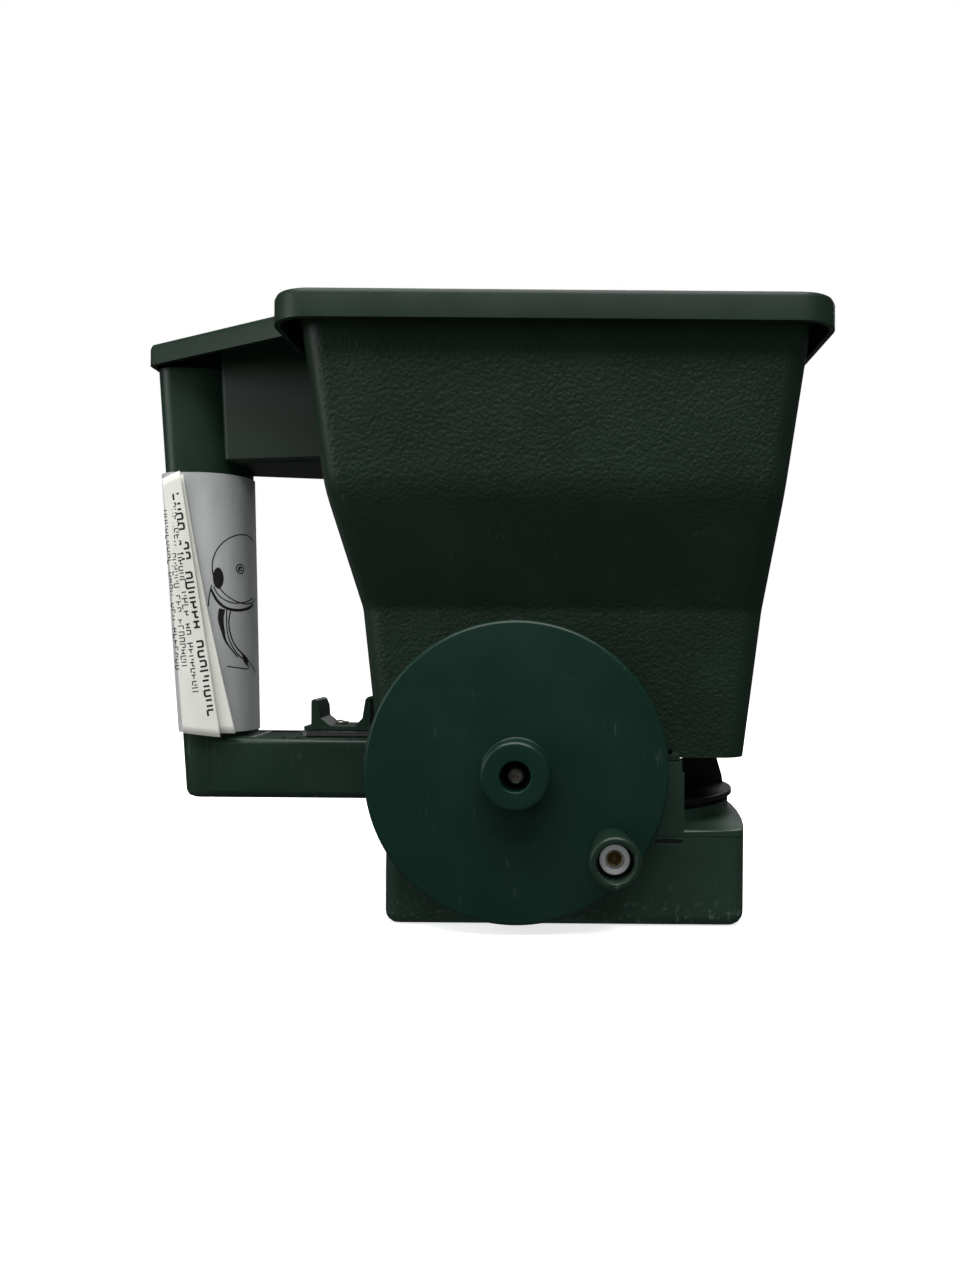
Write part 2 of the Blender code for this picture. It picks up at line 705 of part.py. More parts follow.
def make_tub(green):
    rings = [
        at_height(tub_outline(TUB_ROUND), 0),
        at_height(tub_outline(TUB_ROUND * 0.55), TUB_ROUND * 0.10),
        at_height(tub_outline(TUB_ROUND * 0.25), TUB_ROUND * 0.34),
        at_height(tub_outline(TUB_ROUND * 0.06), TUB_ROUND * 0.66),
        at_height(tub_outline(0), TUB_ROUND),
        at_height(tub_outline(0), TUB_TOP),
        at_height(tub_outline(TUB_WALL), TUB_TOP),
        at_height(tub_outline(TUB_WALL), TUB_FLOOR + TUB_FILLET),
        at_height(tub_outline(TUB_WALL + TUB_FILLET), TUB_FLOOR),
    ]
    tub = piece("base_tub", loft(rings), green)
    cut(tub, "tub_gear_window", gear_window())
    cut(tub, "tub_pinion_pocket", pinion_pocket())
    sinks = [
        moved(rod(SCREW_HEAD_RADIUS + GAP, -PAST, SINK_DEPTH, 16), x, y) for x, y in base_screw_places()
    ]
    boss_top = TUB_FLOOR + BASE_BOSS_HEIGHT
    bosses = [moved(rod(BASE_BOSS, TUB_FLOOR / 3, boss_top, 16), x, y) for x, y in base_screw_places()]
    add(tub, "tub_bosses", combined(*bosses))
    holes = [
        moved(rod(PILOT, -PAST, boss_top + PAST, 12), x, y)
        for x, y in base_screw_places()
    ]
    cut(tub, "tub_sinks", combined(*sinks))
    cut(tub, "tub_holes", combined(*holes))
    return tub


def base_screw_places():
    """(x, y) of the screws up through the tub into the deck's posts."""
    rear, front = TUB_REAR + END_SCREW_INSET, TUB_FRONT - END_SCREW_INSET
    side = TUB_HALF - SIDE_SCREW_INSET
    return [(rear, -side), (rear, side), (front, -side), (front, side)]


def gear_window():
    """The round window in the near walls that the crank gear turns in."""
    inner = GEAR_INNER_Y - GEAR_ROOM
    return on_crank(rod(CRANK_PITCH + ADDENDUM * MODULE + GEAR_CLEAR, inner, WHEEL_FACE_Y, 72))


def pinion_pocket():
    """A blind pocket in the near wall, so that the pinion stays covered."""
    inner = GEAR_INNER_Y - GEAR_ROOM - POCKET_EXTRA
    return on_shaft(rod(PINION_PITCH + ADDENDUM * MODULE + GEAR_CLEAR, inner, GEAR_OUTER_Y + GAP, 32))


def side_wall(side):
    """A wall of the housing that the hopper stands on, with its front post."""
    inner, outer = WALL_INNER, WALL_INNER + WALL_THICK
    wall_y = sorted((side * inner, side * outer))
    post_y = sorted((side * inner, side * TUB_HALF))
    upper_y = sorted((side * inner, side * (TUB_HALF - POST_STEP)))
    sunk = DECK_TOP - DECK_THICK / 2
    wall = box(TUB_REAR, POST_FRONT - PAST, *wall_y, sunk, WALL_TOP)
    post = box(POST_REAR, POST_FRONT, *post_y, sunk, POST_STEP_Z)
    upper = box(POST_REAR + GAP, POST_FRONT - POST_STEP, *upper_y, POST_STEP_Z - SUNK, WALL_TOP)
    return wall, post, upper


def shield():
    """The curved wall behind the impeller that turns the seed towards the front."""
    inner = IMPELLER_RADIUS + SHIELD_CLEAR
    outer = inner + SHIELD_WALL
    steps = 20
    angles = [pi / 2 + pi * k / steps for k in range(steps + 1)]
    outline = [(IMPELLER_X + outer * cos(t), outer * sin(t)) for t in angles]
    outline += [(IMPELLER_X + inner * cos(t), inner * sin(t)) for t in reversed(angles)]
    return prism(outline, DECK_TOP - DECK_THICK / 2, WALL_TOP)


def web_places():
    """(y of the near face, y of the far face) of the two plates that carry the countershaft."""
    far = BEVEL_PITCH + ADDENDUM * MODULE + GEAR_CLEAR
    return (-WEB_OUTER_Y, WEB_THICK - WEB_OUTER_Y), (far, far + WEB_THICK)


def make_housing(green):
    deck = loft(
        [
            at_height(tub_outline(0), DECK_BOTTOM),
            at_height(tub_outline(0), DECK_TOP - DECK_EDGE),
            at_height(tub_outline(DECK_EDGE / 3), DECK_TOP - DECK_EDGE / 3),
            at_height(tub_outline(DECK_EDGE), DECK_TOP),
        ]
    )
    housing = piece("deck_housing", deck, green)
    for side, label in ((-1, "near"), (1, "far")):
        for part, shape in zip(("wall", "post", "post_top"), side_wall(side)):
            add(housing, f"{label}_{part}", shape)
    sunk = DECK_TOP - DECK_THICK / 2
    rear = box(TUB_REAR, TUB_REAR + WALL_THICK, -WALL_INNER - SUNK, WALL_INNER + SUNK, sunk, WALL_TOP)
    add(housing, "rear_wall", rear)
    add(housing, "seed_shield", shield())
    lip = moved(ring(RING_INNER, RING_OUTER, sunk, RING_TOP, 48), IMPELLER_X)
    add(housing, "deck_lip", lip)
    lower = DECK_BOTTOM + SUNK
    bush_seat = BUSH_RADIUS + BOSS_WALL
    webs = []
    for y0, y1 in web_places():
        plate = rounded(
            [
                (SHAFT_X - bush_seat, SHAFT_Z - bush_seat, bush_seat * 0.8),
                (SHAFT_X + bush_seat, SHAFT_Z - bush_seat, bush_seat * 0.8),
                (SHAFT_X + bush_seat + WEB_FOOT, lower, 0),
                (SHAFT_X - bush_seat - WEB_FOOT, lower, 0),
            ]
        )
        webs.append(across_y(plate, y0, y1))
    add(housing, "shaft_webs", combined(*webs))
    boss = rod(DECK_BUSH_RADIUS + BOSS_WALL, BEVEL_TOP + BUSH_CLEAR, DECK_TOP + DECK_BOSS_PROUD, 32)
    add(housing, "deck_boss", moved(boss, IMPELLER_X))
    post_low = TUB_FLOOR + BASE_BOSS_HEIGHT + GAP
    posts = [moved(rod(TUB_POST, post_low, lower, 16), x, y) for x, y in base_screw_places()]
    rear_posts = [
        moved(rod(REAR_POST, sunk, FLOOR_BOTTOM - GAP, 16), x, y) for x, y, _ in screw_places_hopper()[:2]
    ]
    add(housing, "screw_posts", combined(*posts, *rear_posts))
    cut(housing, "housing_gear_window", gear_window())
    cut(housing, "housing_pinion_pocket", pinion_pocket())
    add(housing, "axle_boss", on_crank(rod(AXLE_BOSS, AXLE_BOSS_Y, GEAR_OUTER_Y + AXLE_BOSS_PROUD, 32)))
    axle_hole = rod(AXLE_RADIUS + GAP, AXLE_BOSS_Y + AXLE_BOSS_FLOOR, TUB_HALF, 24)
    axle_hole = moved(turned_to_minus_y(axle_hole), CRANK_X, 0, CRANK_Z)
    bush_bores = []
    for y0, y1 in web_places():
        bore = rod(BUSH_RADIUS + GAP, -y1 - PAST, -y0 + PAST, 24)
        bush_bores.append(moved(turned_to_minus_y(bore), SHAFT_X, 0, SHAFT_Z))
    deck_bore = moved(rod(DECK_BUSH_RADIUS + GAP, SHAFT_Z, WALL_TOP, 24), IMPELLER_X)
    cut(housing, "housing_bores", combined(axle_hole, *bush_bores, deck_bore))
    pilots = [
        moved(rod(PILOT, -HOPPER_SCREW_REAR - PAST, PAST, 12), x, y, z)
        for x, y, z in screw_places_hopper()
    ]
    pilots += [moved(rod(PILOT, TUB_FLOOR, SINK_DEPTH + BASE_SCREW + BASE_PILOT_SPARE, 12), x, y)
               for x, y in base_screw_places()]
    pilots += [along_x(PILOT, TUB_REAR - PAST, TUB_REAR + WALL_THICK + PAST, y, z)
               for y, z in arm_screw_places()]
    cut(housing, "housing_pilots", combined(*pilots))
    return housing


def along_x(radius, x0, x1, y, z, segments=12):
    bm = rod(radius, x0, x1, segments)
    bm.transform(Matrix.Rotation(radians(90), 4, "Y"))
    return moved(bm, 0, y, z)


# ---------------------------------------------------------------- handle


def grip_ends(z):
    """(rear x, front x) of the leaning grip at height z."""
    top = RIM_TOP - PLATE_LIP
    t = (z - ARM_BOTTOM) / (top - ARM_BOTTOM)
    rear = GRIP_BOTTOM_REAR + (GRIP_TOP_REAR - GRIP_BOTTOM_REAR) * t
    front = GRIP_BOTTOM_FRONT + (GRIP_TOP_FRONT - GRIP_BOTTOM_FRONT) * t
    return rear, front


def grip_top_centre():
    rear, front = grip_ends(RIM_TOP - PLATE_LIP)
    return rear + SPIGOT_HALF_X + SPIGOT_SETBACK


def grip_ring(z, inset=0.0):
    """The grip's section: tight corners at the palm side, nearly a half round for the fingers."""
    rear, front = grip_ends(z)
    half = GRIP_HALF - inset
    palm = max(GRIP_CORNER - inset, LEAST_CORNER)
    fingers = max(GRIP_FRONT_CORNER - inset, LEAST_CORNER)
    outline = rounded(
        [
            (rear + inset, -half, palm),
            (front - inset, -half, fingers),
            (front - inset, half, fingers),
            (rear + inset, half, palm),
        ],
        6,
    )
    return at_height(outline, z)


def arm_screw_places():
    """(y, z) of the two screws through the housing's rear wall into the arm."""
    middle = (ARM_BOTTOM + WALL_TOP) / 2
    return [(-ARM_SCREW_Y, middle), (ARM_SCREW_Y, middle)]


def make_handle(green):
    top = RIM_TOP - PLATE_LIP - GAP
    rings = [grip_ring(ARM_BOTTOM, GRIP_FOOT), grip_ring(ARM_BOTTOM + 0.3 * GRIP_FOOT, 0.3 * GRIP_FOOT)]
    rings += [grip_ring(ARM_BOTTOM + GRIP_FOOT), grip_ring(top)]
    handle = piece("handle", loft(rings), green)
    front = TUB_REAR - GAP
    rear = grip_ends(ARM_BOTTOM)[0] + ARM_REACH
    middle, half_height = (ARM_BOTTOM + ARM_TOP) / 2, (ARM_TOP - ARM_BOTTOM) / 2
    section = rounded(
        [
            (-ARM_HALF, -half_height, ARM_CORNER),
            (ARM_HALF, -half_height, ARM_CORNER),
            (ARM_HALF, half_height, ARM_CORNER),
            (-ARM_HALF, half_height, ARM_CORNER),
        ],
        3,
    )
    arm = loft([[(x, y, middle + z) for y, z in section] for x in (rear, front - ARM_FLANGE / 2)])
    add(handle, "arm", arm)
    flange_y, flange_low, flange_top = ARM_FLANGE_HALF, ARM_BOTTOM + GAP, WALL_TOP - RUN
    flange = rounded(
        [
            (-flange_y, flange_low, ARM_FLANGE_CORNER),
            (flange_y, flange_low, ARM_FLANGE_CORNER),
            (flange_y, flange_top, ARM_FLANGE_CORNER),
            (-flange_y, flange_top, ARM_FLANGE_CORNER),
        ],
        3,
    )
    add(handle, "arm_flange", loft([[(x, y, z) for y, z in flange] for x in (front - ARM_FLANGE, front)]))
    side = ARM_HALF + PAST
    relief = box(FOOT_REAR - PAST, TUB_REAR + PAST, -side, side, WALL_TOP, ARM_TOP + PAST)
    cut(handle, "hopper_relief", relief)
    gate_run = box(
        SLIDER_REAR - GATE_TAIL - GATE_TRAVEL - PAST, TUB_REAR, -GATE_HALF - RUN, GATE_HALF + RUN,
        ARM_TOP - CHANNEL_DEPTH, ARM_TOP + PAST,
    )
    cut(handle, "gate_channel", gate_run)
    core = loft([grip_ring(z, GRIP_CORE_WALL) for z in (ARM_TOP, top + PAST)])
    cut(handle, "grip_core", core)
    spigot_low = top - SPIGOT_LOW
    x = grip_top_centre()
    web = rectangle(x - SPIGOT_HALF_X, x + SPIGOT_HALF_X, SPIGOT_HALF_Y - SPIGOT_WEB, SPIGOT_ROUND)
    spigot = prism(web, spigot_low, top - RUN)
    add(handle, "grip_web", spigot)
    tenon = rectangle(x - SPIGOT_HALF_X, x + SPIGOT_HALF_X, SPIGOT_HALF_Y, 1.5 * SPIGOT_ROUND)
    tenon = prism(tenon, top - TENON_LOW, RIM_TOP - HOPPER_WALL - GAP)
    add(handle, "grip_spigot", tenon)
    pilots = [along_x(PILOT, front - ARM_FLANGE - PAST, front + PAST, y, z)
              for y, z in arm_screw_places()]
    pilot = moved(rod(PILOT, RIM_TOP - HANDLE_SCREW - SUNK, RIM_TOP, 12), x)
    cut(handle, "handle_pilots", combined(pilot, *pilots))
    return handle


# ---------------------------------------------------------------- crank


def on_crank(bm):
    """Places a shape made round +Z, with its height as the distance from the mid-plane."""
    return moved(turned_to_minus_y(bm), CRANK_X, 0, CRANK_Z)


def crank_origin():
    return (CRANK_X, -WHEEL_FACE_Y, CRANK_Z)


def make_wheel(material):
    web_back = WHEEL_FACE_Y - WHEEL_WEB
    hub_inner = GEAR_HUB_RADIUS + GAP
    face = WHEEL_FACE_Y
    profile = [
        (HUB_BORE, face + HUB_PROUD - HUB_RECESS),
        (HUB_RECESS_RADIUS, face + HUB_PROUD - HUB_RECESS),
        (HUB_RECESS_RADIUS, face + HUB_PROUD),
        (HUB_RADIUS - HUB_ROUND, face + HUB_PROUD),
        (HUB_RADIUS, face + HUB_PROUD - HUB_ROUND),
        (HUB_RADIUS, face),
        (WHEEL_RADIUS - WHEEL_ROUND, face),
        (WHEEL_RADIUS - WHEEL_ROUND * 0.3, face - WHEEL_ROUND * 0.3),
        (WHEEL_RADIUS, face - WHEEL_ROUND),
        (WHEEL_RADIUS, WHEEL_BACK_Y),
        (WHEEL_RADIUS - WHEEL_SKIRT, WHEEL_BACK_Y),
        (WHEEL_RADIUS - WHEEL_SKIRT, web_back),
        (HUB_RADIUS - HUB_WALL, web_back),
        (HUB_RADIUS - HUB_WALL, GEAR_WEB_Y + GEAR_WEB + GAP),
        (hub_inner, GEAR_WEB_Y + GEAR_WEB + GAP),
        (hub_inner, GEAR_HUB_END + GAP),
        (HUB_BORE, GEAR_HUB_END + GAP),
    ]
    wheel = piece("crank_wheel", on_crank(turned(profile, 56)), material, crank_origin(), 30)
    seat = rod(KNOB_STUD + KNOB_STUD_SEAT, WHEEL_FACE_Y - KNOB_STUD_DEPTH, WHEEL_FACE_Y - WHEEL_WEB / 2, 24)
    add(wheel, "knob_boss", on_knob(seat))
    hole = rod(PILOT, WHEEL_FACE_Y - KNOB_STUD_DEPTH - PAST, WHEEL_FACE_Y + PAST, 12)
    cut(wheel, "knob_hole", on_knob(hole))
    return wheel


def make_crank_gear(material):
    """Teeth on a cup whose web is clear of the axle boss."""
    root = CRANK_PITCH - DEDENDUM * MODULE
    phase = atan2(SHAFT_Z - CRANK_Z, SHAFT_X - CRANK_X)
    outline = gear_outline(CRANK_TEETH, MODULE, phase, 1)
    teeth = on_crank(prism(outline, GEAR_INNER_Y, GEAR_OUTER_Y))
    blank = piece("crank_gear", teeth, material, crank_origin(), 30)
    cup = turned(
        [
            (root - GEAR_RIM_WALL + CUP_OVERLAP, GEAR_OUTER_Y - SUNK),
            (root - CUP_OVERLAP, GEAR_OUTER_Y - SUNK),
            (root - CUP_OVERLAP, GEAR_WEB_Y + GEAR_WEB),
            (GEAR_HUB_RADIUS, GEAR_WEB_Y + GEAR_WEB),
            (GEAR_HUB_RADIUS, GEAR_HUB_END),
            (AXLE_RADIUS + SEAT, GEAR_HUB_END),
            (AXLE_RADIUS + SEAT, GEAR_WEB_Y),
            (root - GEAR_RIM_WALL + CUP_OVERLAP, GEAR_WEB_Y),
        ],
        48,
    )
    hollow = rod(root - GEAR_RIM_WALL, GEAR_INNER_Y - PAST, GEAR_OUTER_Y + PAST, 48)
    cut(blank, "gear_hollow", on_crank(hollow))
    add(blank, "gear_cup", on_crank(cup))
    return blank


def make_axle(steel):
    """A steel stub, pressed in the housing's boss and drilled for the crank screw."""
    start = AXLE_BOSS_Y + AXLE_BOSS_FLOOR + GAP
    tap = SCREW_RADIUS + SEAT
    profile = [
        (0, start),
        (AXLE_RADIUS, start),
        (AXLE_RADIUS, GEAR_HUB_END - GAP),
        (tap, GEAR_HUB_END - GAP),
        (tap, start + AXLE_TAP_FLOOR),
        (0, start + AXLE_TAP_FLOOR),
    ]
    piece("crank_axle", on_crank(turned(profile, 24)), steel, crank_origin())


def make_crank_screw(steel):
    seat = WHEEL_FACE_Y + HUB_PROUD - HUB_RECESS
    washer = ring(SCREW_RADIUS + SEAT, HUB_RECESS_RADIUS - WASHER_CLEAR, seat + GAP, seat + WASHER_THICK, 24)
    piece("crank_washer", on_crank(washer), steel, crank_origin())
    shape = screw_shape(CRANK_SCREW, CRANK_SCREW_HEAD)
    piece("crank_screw", on_crank(moved(shape, 0, 0, seat + WASHER_THICK + GAP)), steel, crank_origin())


def screw_shape(length, head_radius=SCREW_HEAD_RADIUS, head=SCREW_HEAD):
    """A pan-head screw pointing to -Z with the underside of its head at z = 0."""
    profile = [
        (0, -length),
        (SCREW_RADIUS, -length),
        (SCREW_RADIUS, 0),
        (head_radius, 0),
        (head_radius, head * 0.45),
        (head_radius * 0.60, head),
        (0, head),
    ]
    return turned(profile, 12)


def on_knob(bm):
    return moved(turned_to_minus_y(bm), KNOB_X, 0, KNOB_Z)


def knob_origin():
    return (KNOB_X, -WHEEL_FACE_Y, KNOB_Z)


def make_knob(material, nylon, brass):
    foot, tip = WHEEL_FACE_Y + RUN, WHEEL_FACE_Y + KNOB_LENGTH
    mouth = tip - KNOB_MOUTH
    profile = [
        (KNOB_BORE, foot),
        (KNOB_FOOT_RADIUS, foot),
        (KNOB_FOOT_RADIUS, tip - KNOB_FLARE - KNOB_LIP),
        (KNOB_TIP_RADIUS - 0.3 * KNOB_LIP, tip - KNOB_FLARE),
        (KNOB_TIP_RADIUS, tip - KNOB_LIP),
        (KNOB_TIP_RADIUS - 0.35 * KNOB_LIP, tip - 0.35 * KNOB_LIP),
        (KNOB_TIP_RADIUS - KNOB_LIP, tip),
        (KNOB_MOUTH_RADIUS + 0.3 * KNOB_LIP, tip),
        (KNOB_MOUTH_RADIUS, tip - 0.4 * KNOB_LIP),
        (KNOB_MOUTH_RADIUS, mouth),
        (KNOB_BORE, mouth),
    ]
    piece("crank_knob", on_knob(turned(profile, 32)), material, knob_origin(), 30)
    bush_foot = WHEEL_FACE_Y + GAP
    flange = mouth + RUN
    profile = [
        (SCREW_RADIUS + SEAT, bush_foot),
        (KNOB_STUD, bush_foot),
        (KNOB_STUD, flange),
        (KNOB_MOUTH_RADIUS - BUSH_RIM, flange),
        (KNOB_MOUTH_RADIUS - BUSH_RIM, flange + BUSH_RIM_THICK),
        (KNOB_STUD - 2 * SEAT, flange + BUSH_RIM_THICK),
        (KNOB_STUD - 2 * SEAT, flange - BUSH_SINK),
        (SCREW_RADIUS + SEAT, flange - BUSH_SINK),
    ]
    piece("knob_bush", on_knob(turned(profile, 24)), nylon, knob_origin())
    seat = flange - BUSH_SINK + GAP
    length = seat - (WHEEL_FACE_Y - KNOB_SCREW_BITE)
    screw = moved(screw_shape(length, SCREW_HEAD_RADIUS - GAP), 0, 0, seat)
    piece("knob_screw", on_knob(screw), brass, knob_origin())


# ---------------------------------------------------------------- drive train


def on_shaft(bm):
    return moved(turned_to_minus_y(bm), SHAFT_X, 0, SHAFT_Z)


def make_countershaft(steel, acetal, bronze):
    near, far = web_places()
    outer_end = GEAR_OUTER_Y - SHAFT_END
    inner_end = -far[1] - SHAFT_TAIL
    origin = (SHAFT_X, 0, SHAFT_Z)
    piece("countershaft", on_shaft(rod(SHAFT_RADIUS, inner_end, outer_end, 20)), steel, origin)
    towards_crank = atan2(CRANK_Z - SHAFT_Z, CRANK_X - SHAFT_X)
    outline = gear_outline(PINION_TEETH, MODULE, towards_crank + pi / PINION_TEETH)
    pinion = piece("drive_pinion", on_shaft(prism(outline, GEAR_INNER_Y, GEAR_OUTER_Y)), acetal, origin, 30)
    bore = rod(SHAFT_RADIUS + SEAT, GEAR_INNER_Y - PAST, GEAR_OUTER_Y + PAST, 20)
    cut(pinion, "pinion_bore", on_shaft(bore))
    for name, (y0, y1) in zip(("outer_bush", "inner_bush"), (near, far)):
        bush = ring(SHAFT_RADIUS + SEAT, BUSH_RADIUS, -y1 + SHAFT_END, -y0 - SHAFT_END, 20)
        piece(name, on_shaft(bush), bronze, origin)


def bevel_outline(phase):
    return gear_outline(BEVEL_TEETH, MODULE, phase, 2, BEVEL_SHRINK)


def bevel_shape(phase):
    """Straight bevel teeth: the large end's outline shrinks towards the apex at z = 0."""
    outline = bevel_outline(phase)
    small = (BEVEL_PITCH - BEVEL_FACE) / BEVEL_PITCH
    rings = [
        [(x * small, y * small, BEVEL_PITCH * small) for x, y in outline],
        [(x, y, BEVEL_PITCH) for x, y in outline],
    ]
    return loft(rings)


def make_bevels(acetal):
    bore_z = BEVEL_PITCH + BEVEL_BORE
    drive = piece("drive_bevel", on_shaft(bevel_shape(pi / 2)), acetal, (SHAFT_X, 0, SHAFT_Z), 30)
    drive_hub = rod(BEVEL_HUB, BEVEL_PITCH - SUNK, BEVEL_PITCH + BEVEL_HUB_LONG, 20)
    add(drive, "drive_bevel_hub", on_shaft(drive_hub))
    cut(drive, "drive_bevel_bore", on_shaft(rod(SHAFT_RADIUS + SEAT, 0, bore_z, 20)))
    driven = moved(bevel_shape(-pi / 2 + pi / BEVEL_TEETH), SHAFT_X, 0, SHAFT_Z)
    driven = piece("impeller_bevel", driven, acetal, (IMPELLER_X, 0, SHAFT_Z), 30)
    hub_shape = moved(rod(BEVEL_HUB, SHAFT_Z + BEVEL_PITCH - SUNK, BEVEL_TOP, 20), IMPELLER_X)
    add(driven, "impeller_bevel_hub", hub_shape)
    bore = moved(rod(DRIVE_SHAFT_RADIUS + SEAT, SHAFT_Z, SHAFT_Z + bore_z, 20), IMPELLER_X)
    cut(driven, "impeller_bevel_bore", bore)


def fin_outline():
    """(radius, z) of one fin: tall near the rim, with a step down to the hub."""
    base = IMPELLER_Z + IMPELLER_THICK / 2
    rim = IMPELLER_RADIUS - FIN_INSET
    return [
        (IMPELLER_HUB - SUNK, base),
        (rim, base),
        (rim - FIN_LIP, base + FIN_LIP_HEIGHT),
        (rim - FIN_CREST_OUT, FIN_TOP),
        (rim - FIN_CREST_IN, FIN_TOP),
        (rim - FIN_STEP, FIN_TOP - FIN_STEP_DROP),
        (IMPELLER_HUB - SUNK, FIN_TOP - FIN_ROOT_DROP),
    ]


def make_impeller(black):
    disc = rod(IMPELLER_RADIUS, IMPELLER_Z, IMPELLER_Z + IMPELLER_THICK, 64)
    origin = (IMPELLER_X, 0, IMPELLER_Z)
    impeller = piece("impeller", moved(disc, IMPELLER_X), black, origin, 30)
    fins = []
    for k in range(FIN_COUNT):
        fin = across_y(fin_outline(), -FIN_THICK / 2, FIN_THICK / 2)
        fin.transform(Matrix.Rotation(2 * pi * k / FIN_COUNT + FIN_PHASE, 4, "Z"))
        fins.append(moved(fin, IMPELLER_X))
    add(impeller, "fins", combined(*fins))
    hub = rod(IMPELLER_HUB, IMPELLER_Z + IMPELLER_THICK / 2, HUB_TOP, 24)
    add(impeller, "impeller_hub", moved(hub, IMPELLER_X))
    bore = rod(DRIVE_SHAFT_RADIUS + SEAT, IMPELLER_Z - PAST, HUB_TOP + PAST, 24)
    cut(impeller, "impeller_bore", moved(bore, IMPELLER_X))


def make_impeller_shaft(steel, bronze, black, nylon):
    low = SHAFT_Z + BEVEL_PITCH - BEVEL_FACE + SLOT_TOP
    high = FLOOR_TOP + SHAFT_ABOVE_FLOOR
    origin = (IMPELLER_X, 0, IMPELLER_Z)
    piece("impeller_shaft", moved(rod(DRIVE_SHAFT_RADIUS, low, high, 24), IMPELLER_X), steel, origin)
    inner = DRIVE_SHAFT_RADIUS + SEAT
    bottom, top = BEVEL_TOP + BUSH_CLEAR, DECK_TOP + DECK_BOSS_PROUD
    flange = DECK_BUSH_RADIUS + DECK_BUSH_FLANGE
    profile = [
        (inner, bottom),
        (DECK_BUSH_RADIUS, bottom),
        (DECK_BUSH_RADIUS, top + GAP),
        (flange, top + GAP),
        (flange, top + BUSH_FLANGE_TOP),
        (inner, top + BUSH_FLANGE_TOP),
    ]
    piece("deck_bush", moved(turned(profile, 24), IMPELLER_X), bronze, origin)
    collar_low = HUB_TOP + GAP
    collar = ring(inner, COLLAR_RADIUS, collar_low, collar_low + COLLAR_HEIGHT, 24)
    piece("impeller_collar", moved(collar, IMPELLER_X), nylon, origin)
    arm_z = FLOOR_TOP + AGITATOR_RISE
    stem = ring(inner, AGITATOR_RADIUS, arm_z, high - RUN, 20)
    agitator = piece("agitator", moved(stem, IMPELLER_X), black, (IMPELLER_X, 0, arm_z))
    fingers = []
    for side in (-1, 1):
        outline = [
            (AGITATOR_RADIUS - SUNK, 0),
            (AGITATOR_REACH - AGITATOR_TAPER, 0),
            (AGITATOR_REACH, AGITATOR_TIP),
            (AGITATOR_REACH - 2 * AGITATOR_TAPER, AGITATOR_TIP + AGITATOR_TAPER),
            (AGITATOR_RADIUS - SUNK, AGITATOR_ROOT),
        ]
        finger = across_y(outline, -AGITATOR_HALF, AGITATOR_HALF)
        if side < 0:
            finger.transform(Matrix.Rotation(pi, 4, "Z"))
        fingers.append(moved(finger, IMPELLER_X, 0, arm_z))
    add(agitator, "agitator_fingers", combined(*fingers))


# ---------------------------------------------------------------- gate


def guide_screw_places():
    x = (OUTLET_REAR + OUTLET_FRONT) / 2 - GUIDE_SCREW_BACK
    y = GATE_HALF + RUN + GUIDE_SCREW_SIDE
    return [(x, -y), (x, y)]


def make_gate(steel, green, zinc):
    front = OUTLET_FRONT + GATE_LAP
    rear = SLIDER_REAR - GATE_TAIL
    outline = rounded(
        [
            (rear, -GATE_HALF, GATE_CORNER),
            (front, -GATE_HALF, GATE_NOSE_CORNER),
            (front, GATE_HALF, GATE_NOSE_CORNER),
            (rear, GATE_HALF, GATE_CORNER),
        ],
        3,
    )
    gate = piece("gate_plate", prism(outline, GATE_Z, GATE_Z + GATE_THICK), steel, (rear, 0, GATE_Z))
    x = (SLIDER_REAR + SLIDER_FRONT) / 2
    cut(gate, "gate_hole", moved(rod(PILOT, GATE_Z - PAST, GATE_Z + GATE_THICK + PAST, 12), x))
    low = GATE_Z + GATE_THICK + GAP
    profile = [
        (SLIDER_REAR, low),
        (SLIDER_FRONT, low),
        (SLIDER_FRONT, TAB_TOP_Z),
        (SLIDER_FRONT - TAB_ROUND, TAB_TOP_Z + TAB_ROUND),
        (SLIDER_FRONT - 2 * TAB_ROUND, TAB_TOP_Z),
        (SLIDER_FRONT - TAB_FOOT, low + SLIDER_FOOT),
        (SLIDER_FRONT - FRONT_RAMP, low + SLIDER_FLOOR),
        (SLIDER_REAR + REAR_RAMP, low + SLIDER_FLOOR),
        (SLIDER_REAR + REAR_FOOT, low + SLIDER_FOOT),
        (SLIDER_REAR + REAR_TAB_IN, TAB_TOP_Z - REAR_TAB_NOTCH),
        (SLIDER_REAR + REAR_TAB_IN - TAB_ROUND, TAB_TOP_Z - TAB_ROUND / 2),
        (SLIDER_REAR + REAR_TAB_IN - 2 * TAB_ROUND, TAB_TOP_Z),
        (SLIDER_REAR + REAR_TAB_OUT, TAB_TOP_Z - TAB_ROUND / 2),
        (SLIDER_REAR + REAR_TAB_OUT, low + SLIDER_FLOOR),
        (SLIDER_REAR, low + SLIDER_FLOOR - GAP),
    ]
    slider = piece("flow_slider", across_y(profile, -SLIDER_HALF, SLIDER_HALF), green, (rear, 0, GATE_Z))
    cut(slider, "slider_hole", moved(rod(PILOT, low - PAST, low + SLIDER_FLOOR + PAST, 12), x))
    seat = low + SLIDER_FLOOR + GAP
    shape = screw_shape(seat - GATE_Z - GAP, SCREW_HEAD_RADIUS, SLIDER_SCREW_HEAD)
    piece("slider_screw", moved(shape, x, 0, seat), zinc, (x, 0, seat))


